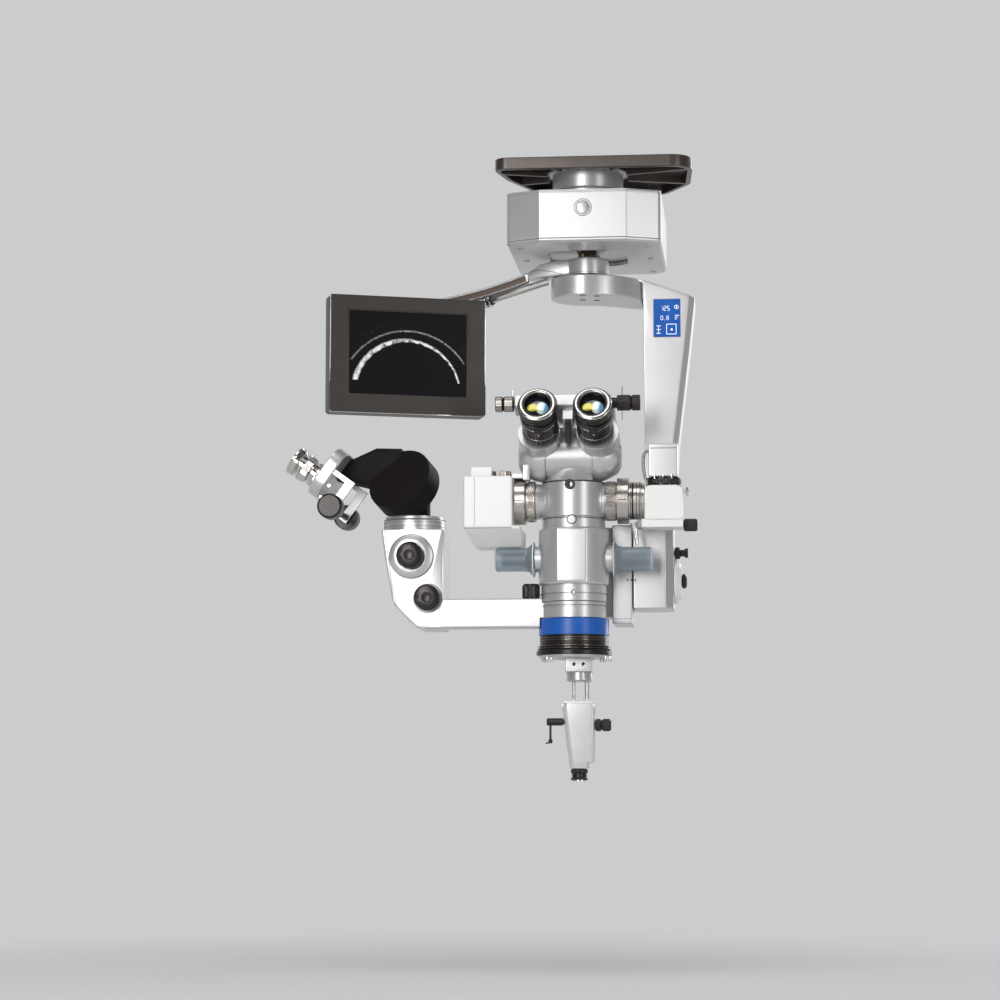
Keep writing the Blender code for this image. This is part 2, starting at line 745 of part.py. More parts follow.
def on_monitor(right, up, out):
    """World place of a point given in the monitor's own directions."""
    along, front = monitor_frame()
    spot = Vector(MONITOR_CENTRE) + along * right + front * out + Vector((0, 0, up))
    return (spot.x, spot.y, spot.z)


def monitor_turn():
    """Rotation that stands an outline up behind the monitor's front face."""
    return (math.pi / 2, 0.0, math.radians(MONITOR_YAW))


def monitor_bracket(body):
    """Fork that hangs from the blade and holds the monitor's tilt pin."""
    end = blade_point(1.0)
    foot = end.z - BLADE_DEPTH - GAP
    pin = Vector(on_monitor(0, 0, -MONITOR_DEPTH - MONITOR_BACK_DEPTH - 8))
    drop = foot - pin.z
    stem = rod("monitor_bracket", YOKE_RADIUS - 1.5, drop + 8, BLACK, body,
               (end.x, end.y, pin.z - 8))
    barrel = rod("bracket_barrel", 8.0, 26, BLACK, body, (0, 0, 0),
                 turn=(0, math.pi / 2, math.radians(MONITOR_YAW)))
    along, _ = monitor_frame()
    low = pin - along * 13
    barrel.location = low * MM - Vector(body["place"])
    turn = (0, 0, math.radians(MONITOR_YAW))
    bridge = block("bracket_bridge", (-10, 57, -7), (30, 69, 7), BLACK, body, turn,
                   MONITOR_CENTRE)
    web = block("bracket_web", (-8, 46, -6.5), (8, 58, 6.5), BLACK, body, turn, MONITOR_CENTRE)
    hole = rod("bracket_hole", TILT_PIN_RADIUS + GAP, 60, BLACK, body, (0, 0, 0),
               turn=(0, math.pi / 2, math.radians(MONITOR_YAW)))
    hole.location = (pin - along * 30) * MM - Vector(body["place"])
    add(stem, bridge, web, barrel)
    return cut(stem, hole)


def monitor(body):
    """Flat housing with a recessed screen, two ears and the tilt pin."""
    housing = slab("monitor_housing", oblong(MONITOR_WIDTH, MONITOR_HEIGHT, MONITOR_CORNER, 3),
                   MONITOR_DEPTH, GREY, body, on_monitor(0, 0, -MONITOR_DEPTH),
                   turn=monitor_turn())
    soften(housing, 1.6, 2, 60)
    back = []
    for scale, depth in ((0.86, -1.0), (0.86, 4.0), (0.72, MONITOR_BACK_DEPTH)):
        loop = oblong(MONITOR_WIDTH * scale, MONITOR_HEIGHT * scale, 10, 3)
        back.append([(u, v, -depth) for u, v in loop])
    shell = loft("monitor_back", back, GREY, body, on_monitor(0, 0, -MONITOR_DEPTH),
                 monitor_turn())
    recess = slab("screen_recess", oblong(SCREEN_WIDTH, SCREEN_HEIGHT, 1.5, 2), 20, GREY, body,
                  on_monitor(0, SCREEN_UP, -SCREEN_RECESS), turn=monitor_turn())
    add(housing, shell)
    for side in (-1, 1):
        ear = block(f"monitor_ear_{side}", (-3, -9, -8), (3, 9, 8), GREY, body,
                    (0, 0, math.radians(MONITOR_YAW)),
                    on_monitor(side * 17.5, 0, -MONITOR_DEPTH - MONITOR_BACK_DEPTH - 8))
        add(housing, ear)
    along, _ = monitor_frame()
    place = Vector(on_monitor(-18, 0, -MONITOR_DEPTH - MONITOR_BACK_DEPTH - 8))
    pin = rod("tilt_pin", TILT_PIN_RADIUS, 36, GREY, body, tuple(place),
              turn=(0, math.pi / 2, math.radians(MONITOR_YAW)))
    add(housing, pin)
    cut(housing, recess)
    screen = slab("monitor_screen", oblong(SCREEN_WIDTH - 2 * GAP, SCREEN_HEIGHT - 2 * GAP, 1.2, 2),
                  1.5, SCREEN, body, on_monitor(0, SCREEN_UP, -SCREEN_RECESS + GAP),
                  turn=monitor_turn())
    return screen


# Arm that carries the microscope

def beam_outline():
    """Plan of the beam: a round end that sweeps back to the upright."""
    end = [(BEAM_END_X * math.cos(a), BEAM_END_Y * math.sin(a))
           for a in (math.radians(90 + 12 * k) for k in range(16))]
    back = UPRIGHT_FRONT + UPRIGHT_DEPTH
    sweep = [(18, -34.5), (34, -26), (48, -14), (57, -4), (BEAM_SEAM, UPRIGHT_FRONT + 1)]
    rear = [(BEAM_SEAM, back - 1), (44, 60), (26, 47), (12, 40)]
    return end + sweep + rear


def scope_beam(body):
    """Cast beam that turns on the shaft, with a bearing bore and a spigot for the upright."""
    beam = slab("scope_beam", beam_outline(), BEAM_TOP - BEAM_BOTTOM, LIGHT, body,
                (0, 0, BEAM_BOTTOM))
    soften(beam, 2.2, 2, 50)
    bore = rod("beam_bore", SHAFT_RADIUS + SLIDE_GAP, 40, LIGHT, body, (0, 0, BEAM_BOTTOM + 5.5))
    spigot = block("beam_spigot", (BEAM_SEAM - 10, UPRIGHT_FRONT + 5, BEAM_BOTTOM + 4),
                   (UPRIGHT_LEFT - SEAT_GAP, UPRIGHT_FRONT + UPRIGHT_DEPTH - 5, BEAM_TOP - 4),
                   LIGHT, body)
    add(beam, spigot)
    return cut(beam, bore)


def upright_section(z, right, left, front, depth, chamfer):
    """One level of the upright, chamfered at its two right edges."""
    back = front + depth
    return [(left, front, z), (right - chamfer, front, z), (right, front + chamfer, z),
            (right, back - chamfer, z), (right - chamfer, back, z), (left, back, z)]


def scope_upright(body):
    """Tapered upright with a slanted top and the tilt drive's housing at its foot."""
    slope = UPRIGHT_DROP / (UPRIGHT_WIDE - UPRIGHT_LEFT)
    levels = [(-157.0, UPRIGHT_WIDE, UPRIGHT_LEFT), (-211.0, 116.7, 63.3),
              (-321.0, 103.3, 64.3), (-400.0, HOUSING_RIGHT + 1, 62.0)]
    sections = [upright_section(z, right, left, UPRIGHT_FRONT, UPRIGHT_DEPTH, UPRIGHT_CHAMFER)
                for z, right, left in levels]
    depth = HOUSING_BACK - HOUSING_FRONT
    for z in (HOUSING_TOP, HOUSING_BOTTOM):
        sections.append(upright_section(z, HOUSING_RIGHT, HOUSING_LEFT, HOUSING_FRONT, depth,
                                        HOUSING_CHAMFER))
    crown = [(x, y, UPRIGHT_TOP - (x - UPRIGHT_LEFT) * slope) for x, y, _ in sections[0]]
    upright = loft("scope_upright", [crown] + sections, LIGHT, body, (0, 0, 0))
    soften(upright, 1.2, 2, 30)
    x, z = DISPLAY_CENTRE
    seat = block("display_seat", (-DISPLAY_WIDTH / 2, -5, -DISPLAY_HEIGHT / 2),
                 (DISPLAY_WIDTH / 2, DISPLAY_THICKNESS, DISPLAY_HEIGHT / 2), LIGHT, body,
                 place=(x, UPRIGHT_FRONT, z))
    bore = rod("housing_bore", TILT_SHAFT_RADIUS + SLIDE_GAP, 30, LIGHT, body,
               (HOUSING_LEFT - 6, TILT_Y, TILT_Z), "right")
    knob_hole = rod("knob_hole", 5.2, 20, LIGHT, body,
                    (HOUSING_RIGHT - 6, TILT_Y, TILT_Z), "right")
    lock_hole = rod("lock_hole", 3.3, 20, LIGHT, body,
                    (HOUSING_RIGHT - 8, TILT_Y, TILT_Z + LOCK_RISE), "right")
    cut(upright, seat, bore, knob_hole, lock_hole)
    display = slab("arm_display", oblong(DISPLAY_WIDTH - 2 * GAP, DISPLAY_HEIGHT - 2 * GAP, 0.8, 2),
                   DISPLAY_THICKNESS - GAP, BLUE, body,
                   (x, UPRIGHT_FRONT + DISPLAY_THICKNESS - GAP, z), "front")
    return display


def tilt_controls(body, knob_body, lock_body):
    """White cone on the drive's side, its centre knob and the lock knob above."""
    start = HOUSING_RIGHT + GAP
    cone = [(5.2, 0.0), (DISC_RADIUS, 0.0), (DISC_RADIUS, 1.5), (DISC_RADIUS - 7, DISC_THICKNESS),
            (5.2, DISC_THICKNESS)]
    disc = ringed("tilt_disc", cone, WHITE, body, (start, TILT_Y, TILT_Z), "right")
    shadow = rod("disc_notch", LOCK_RADIUS + 1.5, 30, WHITE, body,
                 (start - 5, TILT_Y, TILT_Z + LOCK_RISE), "right")
    cut(disc, shadow)
    knob = [(4.8, -5.0), (4.8, DISC_THICKNESS + GAP), (TILT_KNOB_RADIUS - 1, DISC_THICKNESS + GAP),
            (TILT_KNOB_RADIUS, DISC_THICKNESS + GAP + 1),
            (TILT_KNOB_RADIUS, DISC_THICKNESS + TILT_KNOB_LENGTH - 1.5),
            (TILT_KNOB_RADIUS - 2, DISC_THICKNESS + TILT_KNOB_LENGTH)]
    turned("tilt_knob", knob, BLACK, knob_body, (start, TILT_Y, TILT_Z), "right")
    lock = [(3.0, -7.0), (3.0, 0.8), (LOCK_RADIUS, 0.8), (LOCK_RADIUS, 6.5), (4.0, 8.0),
            (4.0, 12.0), (5.5, 12.5), (5.5, 16.0)]
    turned("tilt_lock_knob", lock, BLACK, lock_body, (start - 0.5, TILT_Y, TILT_Z + LOCK_RISE),
           "right")


# Tilt carriage and focusing drive

def tilt_carriage(body):
    """Cheek beside the column, with the tilt shaft on its side and a lip at its foot."""
    cheek = block("tilt_carriage", (CHEEK_LEFT, CHEEK_FRONT, CARRIAGE_FOOT),
                  (CARRIAGE_RIGHT, CARRIAGE_BACK, CARRIAGE_TOP), LIGHT, body)
    soften(cheek, 1.5, 2)
    shaft = rod("tilt_shaft", TILT_SHAFT_RADIUS, 24, LIGHT, body,
                (CARRIAGE_RIGHT - 6, TILT_Y, TILT_Z), "right")
    groove = block("cheek_groove", (CHEEK_LEFT - 2, CHEEK_FRONT - 5, CARRIAGE_FOOT + 5),
                   (CARRIAGE_RIGHT + 2, CHEEK_FRONT + 0.8, CARRIAGE_FOOT + 6), LIGHT, body)
    add(cheek, shaft)
    cut(cheek, groove)
    return cheek


def focus_guide(body):
    """Back of the carriage: a channel that the focusing slide runs in."""
    guide = block("focus_guide", (GUIDE_LEFT, GUIDE_FRONT, GUIDE_FOOT),
                  (CHEEK_LEFT - GAP, CARRIAGE_BACK, CARRIAGE_TOP), SILVER, body)
    soften(guide, 1.5, 1)
    channel = block("guide_channel", (AXIS_X - SLIDE_HALF - SLIDE_GAP, GUIDE_FRONT + 5,
                                      GUIDE_FOOT + GUIDE_WALL),
                    (AXIS_X + SLIDE_HALF + SLIDE_GAP, GUIDE_FRONT + 5 + SLIDE_DEPTH,
                     CARRIAGE_TOP - GUIDE_WALL), SILVER, body)
    mouth = block("guide_mouth", (AXIS_X - SLIDE_NECK - SLIDE_GAP, GUIDE_FRONT - 5,
                                  GUIDE_FOOT + GUIDE_WALL),
                  (AXIS_X + SLIDE_NECK + SLIDE_GAP, GUIDE_FRONT + 6,
                   CARRIAGE_TOP - GUIDE_WALL), SILVER, body)
    return cut(guide, channel, mouth)


def focus_slide(body):
    """T-shaped slide on the column's back, which runs in the guide."""
    front = GUIDE_FRONT + 5 + SLIDE_GAP
    slide = block("focus_slide", (AXIS_X - SLIDE_HALF, front, SLIDE_FOOT),
                  (AXIS_X + SLIDE_HALF, front + SLIDE_DEPTH - 2 * SLIDE_GAP, SLIDE_TOP),
                  SILVER, body)
    web = block("slide_web", (AXIS_X - SLIDE_NECK, AXIS_Y + ZOOM_RADIUS - 6, SLIDE_FOOT),
                (AXIS_X + SLIDE_NECK, front + 2, SLIDE_TOP), SILVER, body)
    return slide, web


# Microscope column

def beam_splitter(body):
    """Upper column with a waisted cross tube for the two ports and a ring below it."""
    r = CROSS_RADIUS
    cross = turned("beam_splitter", [
        (r, RING_FOOT + GAP), (r, CROSS_FOOT - 0.8), (r - 1.2, CROSS_FOOT),
        (r - 1.2, CROSS_FOOT + 0.8), (r, CROSS_FOOT + 1.6), (r, CROSS_TOP - 1.2),
        (r - 1.2, CROSS_TOP - GAP)], SILVER, body, (AXIS_X, AXIS_Y, 0))
    ends = ((PORT_LEFT, CROSS_PORT_RADIUS), (PORT_LEFT + 3, CROSS_PORT_RADIUS),
            (AXIS_X - 32, 18.5), (AXIS_X + 32, 18.5), (PORT_RIGHT - 3, CROSS_PORT_RADIUS),
            (PORT_RIGHT, CROSS_PORT_RADIUS))
    port = turned("cross_ports", [(radius, x) for x, radius in ends], SILVER, body,
                  (0, AXIS_Y, PORT_Z), "right")
    return add(cross, port)


def zoom_body(body):
    """Zoom body with a flat front plate, grip bosses, the focusing slide and a lower neck."""
    zr, lr = ZOOM_RADIUS, LOWER_RADIUS
    zoom = turned("zoom_body", [
        (LOWER_NECK, SWING_RING_FOOT), (LOWER_NECK, LOWER_FOOT), (lr, LOWER_FOOT),
        (lr, ZOOM_FOOT - 1.2), (lr - 1.2, ZOOM_FOOT - 1.2), (lr - 1.2, ZOOM_FOOT),
        (zr - 1.2, ZOOM_FOOT), (zr, ZOOM_FOOT + 2.4), (zr, RING_FOOT - 1.2),
        (zr - 1.2, RING_FOOT)], LIGHT, body, (AXIS_X, AXIS_Y, 0))
    flat = block("zoom_flat", (AXIS_X - 30, AXIS_Y - 60, ZOOM_FOOT + 4),
                 (AXIS_X + 30, AXIS_Y - ZOOM_FLAT, RING_FOOT - 2), LIGHT, body)
    cut(zoom, flat)
    add(zoom, *focus_slide(body))
    for side in (-1, 1):
        word = "right" if side > 0 else "left"
        seat = rod(f"grip_seat_{word}", GRIP_SEAT_RADIUS, 8, LIGHT, body,
                   (AXIS_X + side * (ZOOM_RADIUS - 4), AXIS_Y, CAP_Z), word)
        add(zoom, seat)
        hole = rod(f"grip_hole_{word}", 4.4, 14, LIGHT, body,
                   (AXIS_X + side * (ZOOM_RADIUS - 6), AXIS_Y, CAP_Z), word)
        cut(zoom, hole)
    return zoom


def lower_column(body):
    """Blue ring and the black objective mount with its lens."""
    axis = (AXIS_X, AXIS_Y, 0)
    br, kr = BLUE_RADIUS, BLACK_RADIUS
    ring_top = SWING_RING_FOOT - GAP
    ringed("blue_ring", [
        (BLUE_BORE, BLUE_FOOT + GAP), (br, BLUE_FOOT + GAP), (br, ring_top - 0.8),
        (br - 0.8, ring_top), (BLUE_BORE, ring_top)], BLUE, body, axis)
    sleeve = BLUE_BORE - GAP
    ringed("objective_mount", [
        (LENS_RADIUS + GAP, BLACK_FOOT), (FLANGE_RADIUS, BLACK_FOOT),
        (FLANGE_RADIUS, BLACK_FOOT + 4), (kr, BLACK_FOOT + 9), (kr, BLUE_FOOT),
        (sleeve, BLUE_FOOT), (sleeve, BLUE_FOOT + 14), (LENS_RADIUS - 4, BLUE_FOOT + 14),
        (LENS_RADIUS - 4, BLACK_FOOT + 12), (LENS_RADIUS + GAP, BLACK_FOOT + 12)],
        BLACK, body, axis)
    base = BLACK_FOOT + 3
    dome = [(LENS_RADIUS * k / 4, base + 3.2 * (k / 4) ** 2) for k in range(1, 5)]
    turned("objective_lens", dome + [(LENS_RADIUS, base + 8.5)], GLASS, body, axis)


def hand_grip(side, body):
    """Gripped shaft under a flanged silicone cap, on one side of the zoom body."""
    word = "right" if side > 0 else "left"
    seat = AXIS_X + side * (ZOOM_RADIUS + 4 + GAP)
    place = (seat, AXIS_Y, CAP_Z)
    grip = [(4.0, -8.5), (4.0, 0.0), (GRIP_RADIUS, 0.0), (GRIP_RADIUS, 6.0), (7.5, 8.0),
            (7.5, 36.0), (6.5, 38.0)]
    turned(f"{word}_grip", grip, BLACK, body, place, word)
    inner = CAP_RADIUS - CAP_WALL
    flange = CAP_FLANGE_RADIUS
    cap = [(inner, 2.0), (flange - 0.6, 0.4), (flange, 1.6), (flange - 2.6, 4.0),
           (CAP_RADIUS + 0.6, 7.5), (CAP_RADIUS, 11.0), (CAP_RADIUS, CAP_LENGTH - 2),
           (CAP_RADIUS - 2, CAP_LENGTH), (0.0, CAP_LENGTH), (0.0, CAP_LENGTH - CAP_WALL),
           (inner, CAP_LENGTH - CAP_WALL)]
    ringed(f"{word}_cap", cap, SILICONE, body, place, word)


# Binocular tube

def bino_place(right, along, above):
    """World place of a point given along and above the slanted tubes."""
    slope = math.radians(BINO_TILT)
    y = AXIS_Y - along * math.cos(slope) + above * math.sin(slope)
    z = BINO_AXIS_Z + along * math.sin(slope) + above * math.cos(slope)
    return (BINO_X + right, y, z)


def tube_turn():
    """Rotation that points local Z out of the eyepieces."""
    return (math.radians(90 - BINO_TILT), 0.0, 0.0)


def binocular_base(body):
    """Central drum on a round foot, bored for the tilt axle."""
    drum = rod("binocular_base", DRUM_RADIUS - 2.5, 2 * DRUM_HALF, LIGHT, body,
               (BINO_X - DRUM_HALF, AXIS_Y, BINO_AXIS_Z), "right")
    foot = turned("bino_foot", [(CROSS_RADIUS - 3, CROSS_TOP), (CROSS_RADIUS - 2, CROSS_TOP + 1),
                                (27.0, CROSS_TOP + 9), (20.0, CROSS_TOP + 16)], LIGHT, body,
                  (AXIS_X, AXIS_Y, 0))
    bore = rod("drum_bore", 8.0 + GAP, 90, LIGHT, body,
               (BINO_X - 45, AXIS_Y, BINO_AXIS_Z), "right")
    trims = []
    for side in (-1, 1):
        low, high = sorted((BINO_X + side * DRUM_HALF, BINO_X + side * (DRUM_HALF + 30)))
        trims.append(block(f"foot_trim_{side}", (low, AXIS_Y - 50, CROSS_TOP + 0.6),
                           (high, AXIS_Y + 50, CROSS_TOP + 40), LIGHT, body))
    add(drum, foot)
    return cut(drum, bore, *trims)


def binocular_body(body):
    """Two rounded side shells joined by an axle, with seats and a bridge for both tubes."""
    axle = rod("binocular_body", 8.0, 2 * DRUM_HALF + 8, LIGHT, body,
               (BINO_X - DRUM_HALF - 4, AXIS_Y, BINO_AXIS_Z), "right")
    origin = bino_place(0, 0, 0)
    for side in (-1, 1):
        inner = BINO_X + side * (DRUM_HALF + GAP)
        word = "right" if side > 0 else "left"
        shell = [(DRUM_RADIUS, 0.0), (DRUM_RADIUS, 7.0), (DRUM_RADIUS - 1.9, 14.0),
                 (DRUM_RADIUS - 5, 20.0), (DRUM_RADIUS - 9, SIDE_WIDTH - 4),
                 (DRUM_RADIUS - 16, SIDE_WIDTH)]
        drum = turned(f"side_drum_{word}", shell, LIGHT, body, (inner, AXIS_Y, BINO_AXIS_Z),
                      word)
        seat = rod(f"tube_seat_{word}", BARREL_RADIUS + 3.5, 30, LIGHT, body,
                   bino_place(side * (PUPIL_HALF + 2.5), BARREL_START - 26, TUBE_OFFSET),
                   turn=tube_turn())
        low, high = sorted((side * (PUPIL_HALF - 16), side * (PUPIL_HALF + 21.3)))
        back = block(f"tube_back_{word}", (low, 16, 2), (high, BRIDGE_HIGH - 0.4, 39.4), LIGHT,
                     body, tube_turn(), origin)
        soften(back, 5.0, 2)
        add(axle, drum, seat, back)
    web = block("tube_web", (-5.6, 17, 26), (5.6, BRIDGE_HIGH - 4, BRIDGE_END - 6), LIGHT, body,
                tube_turn(), origin)
    web_foot = block("tube_web_foot", (-PUPIL_HALF, 15, 17), (PUPIL_HALF, 34, 38.6), LIGHT, body,
                     tube_turn(), origin)
    left, right = BRIDGE_LEFT - BINO_X, BRIDGE_RIGHT - BINO_X
    bridge = block("tube_bridge", (left, BRIDGE_LOW, BRIDGE_START),
                   (right, BRIDGE_HIGH, BRIDGE_END), LIGHT, body, tube_turn(), origin)
    soften(bridge, 1.6, 2)
    bore = rod("spindle_bore", SPINDLE_BAR_RADIUS + SLIDE_GAP, 130, LIGHT, body,
               (BRIDGE_LEFT - 10, *bino_place(0, SPINDLE_ALONG, SPINDLE_ABOVE)[1:]), "right")
    add(axle, web_foot, web, bridge)
    clearance = rod("base_clearance", DRUM_RADIUS - 2.5 + 1.2, 2 * (DRUM_HALF + GAP), LIGHT,
                    body, (BINO_X - DRUM_HALF - GAP, AXIS_Y, BINO_AXIS_Z), "right")
    cut(clearance, rod("axle_core", 8.0, 90, LIGHT, body,
                       (BINO_X - 45, AXIS_Y, BINO_AXIS_Z), "right"))
    cut(axle, clearance)
    return cut(axle, bore, solver="MANIFOLD")


def eyepiece(side, slide_body, cup_body):
    """Barrel that slides for the eye distance, with its lens and turning eyecup."""
    word = "right" if side > 0 else "left"
    start = bino_place(side * PUPIL_HALF, BARREL_START + 4 + GAP, TUBE_OFFSET)
    r = BARREL_RADIUS
    length = BARREL_LENGTH
    barrel = [(15.5, 0.0), (r - 2.5, 0.0), (r - 2.5, 3.0), (r, 4.0), (r, 12.0),
              (r - 1, 13.0), (r, 14.5), (r, length - 5), (r - 2.5, length - 4),
              (r - 2.5, length), (15.5, length)]
    ringed(f"eyepiece_{word}", barrel, BLACK, slide_body, start, turn=tube_turn())
    top = bino_place(side * PUPIL_HALF, BARREL_START + 4 + 2 * GAP + length, TUBE_OFFSET)
    er = EYECUP_RADIUS
    cup = [(EYE_LENS_RADIUS + GAP, 0.0), (er - 1.5, 0.0), (er, 1.5), (er, 5.0),
           (er - 0.8, 6.0), (er, 7.0), (er, EYECUP_LENGTH - 1.5), (er - 1.5, EYECUP_LENGTH),
           (er - 4, EYECUP_LENGTH), (EYE_LENS_RADIUS + GAP, EYECUP_LENGTH - 4)]
    ringed(f"eyecup_{word}", cup, BLACK, cup_body, top, turn=tube_turn())
    glass_place = bino_place(side * PUPIL_HALF, BARREL_START + 4 + 3 * GAP + length, TUBE_OFFSET)
    dome = [(EYE_LENS_RADIUS * k / 3, 7.5 - 2.2 * (k / 3) ** 2) for k in range(3, 0, -1)]
    turned(f"eye_lens_{word}", [(EYE_LENS_RADIUS, 0.0)] + dome, GLASS, slide_body, glass_place,
           turn=tube_turn())


def pd_spindle(body):
    """Cross bar with a finger knob at each end, for the eye distance."""
    place = bino_place(0, SPINDLE_ALONG, SPINDLE_ABOVE)
    k = PD_KNOB_RADIUS
    b = SPINDLE_BAR_RADIUS
    left, right = PD_LEFT_END, PD_RIGHT_END
    profile = [(k, left), (k, left + 8), (k - 1.2, left + 9), (k, left + 10),
               (k, BRIDGE_LEFT - 1), (b, BRIDGE_LEFT - 1), (b, BRIDGE_RIGHT + 1),
               (k - 2.5, BRIDGE_RIGHT + 1), (k - 2.5, right - 26), (k, right - 26),
               (k, right - 11), (k - 1.2, right - 10), (k, right - 9), (k, right)]
    return turned("pd_spindle", profile, BLACK, body, (0, place[1], place[2]), "right")


# Cameras on the side ports

def port_ring(side, body):
    """Knurled clamp rings between the beam splitter and a camera."""
    if side < 0:
        start = PORT_LEFT - GAP
        length = start - (SCAN_RIGHT + GAP)
        profile = [(12, 0.0), (22.2, 0.0), (22.9, 1.0), (22.9, length * 0.4),
                   (22.0, length * 0.44), (26.0, length * 0.5), (26.0, length), (12, length)]
        return ringed("left_port_ring", profile, STEEL, body, (start, AXIS_Y, PORT_Z), "left")
    start = PORT_RIGHT + GAP
    length = ADAPTER_LEFT - GAP - start
    profile = [(12, 0.0), (22, 0.0), (22, 12.0), (20.5, 12.6), (26.2, 13.4), (26.2, 26.0),
               (21.2, 26.8), (21.2, 30.0), (20, 31.0), (21.2, 32.0), (21.2, length - 4),
               (20, length - 3), (20, length), (12, length)]
    return ringed("right_port_ring", profile, STEEL, body, (start, AXIS_Y, PORT_Z), "right")


def scan_camera(body, dial_body):
    """White camera box with a slanted foot, a small box and a dial on its top."""
    width = SCAN_RIGHT - SCAN_LEFT
    outline = rounded([(SCAN_LEFT, SCAN_TOP), (SCAN_RIGHT, SCAN_TOP), (SCAN_RIGHT, SCAN_WAIST),
                       (SCAN_LEFT, SCAN_WAIST)][::-1], [2, 3, 3, 2], 2)
    box = slab("scan_camera", outline, SCAN_BACK - SCAN_FRONT, WHITE, body,
               (0, SCAN_BACK, 0), "front")
    soften(box, 2.0, 2, 50)
    lid = block("scan_lid", (SCAN_LEFT + 7, -65, SCAN_TOP - 2),
                (SCAN_LEFT + 30, -25, SCAN_TOP + 12), WHITE, body)
    well = block("dial_well", (SCAN_LEFT + width - 26, AXIS_Y - 7.5, SCAN_TOP - 12),
                 (SCAN_RIGHT - 2.5, AXIS_Y + 7.5, SCAN_TOP + 10), WHITE, body)
    levels = ((SCAN_WAIST + 2.5, SCAN_LEFT + 1.5, SCAN_RIGHT + 8, SCAN_FRONT + 1.5),
              (SCAN_WAIST - 1.0, SCAN_LEFT + 1.5, SCAN_RIGHT + 9.5, SCAN_FRONT + 1.5),
              (SCAN_FOOT, SCAN_LEFT + 10, SCAN_RIGHT + 8.5, SCAN_FRONT + 33))
    foot = loft("scan_foot", [[(left, SCAN_BACK - 1.5, z), (left, front, z), (right, front, z),
                               (right, SCAN_BACK - 1.5, z)] for z, left, right, front in levels],
                WHITE, body, (0, 0, 0))
    soften(foot, 1.2, 2, 20)
    add(box, lid)
    add(box, foot)
    cut(box, well)
    x = SCAN_RIGHT - 14.2
    axle = rod("dial_axle", 2.0, 30, WHITE, body, (x, AXIS_Y + 15, SCAN_TOP - 0.5), "front")
    add(box, axle)
    ringed("scan_dial", [(2.0 + GAP, 0.0), (9.0, 0.0), (10.2, 1.2), (10.2, 9.8), (9.0, 11.0),
                         (2.0 + GAP, 11.0)], SILVER, dial_body,
           (x, AXIS_Y + 5.5, SCAN_TOP - 0.5), "front")
    return width


def video_adapter(body, knob_body):
    """White right-angle adapter with a foot strip and a side knob."""
    depth = 22.0
    outline = rounded([(ADAPTER_LEFT, ADAPTER_TOP), (ADAPTER_LEFT, ADAPTER_FOOT + 8),
                       (ADAPTER_RIGHT, ADAPTER_FOOT + 8), (ADAPTER_RIGHT, ADAPTER_TOP)],
                      [7, 3, 3, 7], 3)
    box = slab("video_adapter", outline, 2 * depth, WHITE, body,
               (0, AXIS_Y + depth, 0), "front")
    soften(box, 1.8, 2, 50)
    strip = block("adapter_strip", (ADAPTER_LEFT - 3, AXIS_Y - depth + 2, ADAPTER_FOOT),
                  (ADAPTER_RIGHT + 0.5, AXIS_Y + depth - 2, ADAPTER_FOOT + 9), WHITE, body)
    hole = rod("adapter_hole", 3.3, 16, WHITE, body,
               (ADAPTER_RIGHT - 8, AXIS_Y, ADAPTER_FOOT + 3.6), "right")
    add(box, strip)
    cut(box, hole)
    knob = [(3.0, -6.0), (3.0, GAP), (6.0, GAP), (6.8, 1.2), (6.8, 14.5), (6.0, 15.6)]
    turned("adapter_knob", knob, BLACK, knob_body,
           (ADAPTER_RIGHT + 0.5, AXIS_Y, ADAPTER_FOOT + 3.6), "right")
    return box


def video_camera(ring_body, body):
    """Knurled focusing collar and the camera that stands on it."""
    x = (ADAPTER_LEFT + ADAPTER_RIGHT) / 2
    foot = ADAPTER_TOP + GAP
    collar = [(11, 0.0), (19.6, 0.0), (19.6, 3.4), (18.2, 4.2), (19.6, 5.0),
              (19.6, COLLAR_HEIGHT), (11, COLLAR_HEIGHT)]
    ringed("camera_focus_ring", collar, BLACK, ring_body, (x, AXIS_Y, foot))
    cam_foot = foot + COLLAR_HEIGHT + GAP
    half = CAMERA_WIDTH / 2
    camera = block("video_camera", (x - half, AXIS_Y - half, cam_foot),
                   (x + half, AXIS_Y + half, CAMERA_TOP), LIGHT, body)
    soften(camera, 2.0, 2)
    return camera


def camera_cable(body):
    """Short lead from the camera's side down to the adapter, held at both ends."""
    x = (ADAPTER_LEFT + ADAPTER_RIGHT) / 2 - CAMERA_WIDTH / 2 - GAP
    y = AXIS_Y - 12.0
    points = [(x, y, -341.0), (x - 4.0, y, -341.5), (x - 6.0, y, -347.0), (x - 6.0, y, -358.0),
              (x - 4.4, y, -369.0), (x - 2.2, y, -375.0), (x - 1.6, y, -381.0)]
    curve = bpy.data.curves.new("camera_cable", "CURVE")
    curve.dimensions = "3D"
    curve.bevel_depth = 1.9 * MM
    curve.bevel_resolution = 2
    curve.resolution_u = 5
    curve.use_fill_caps = True
    line = curve.splines.new("NURBS")
    line.points.add(len(points) - 1)
    line.order_u = 4
    line.use_endpoint_u = True
    for slot, point in zip(line.points, points):
        slot.co = (*[v * MM for v in point], 1.0)
    piece = bpy.data.objects.new("camera_cable", curve)
    bpy.context.collection.objects.link(piece)
    curve.materials.append(finish(CORD))
    piece.parent = body
    piece.location = -Vector(body["place"])
    return piece


# Assistant scope

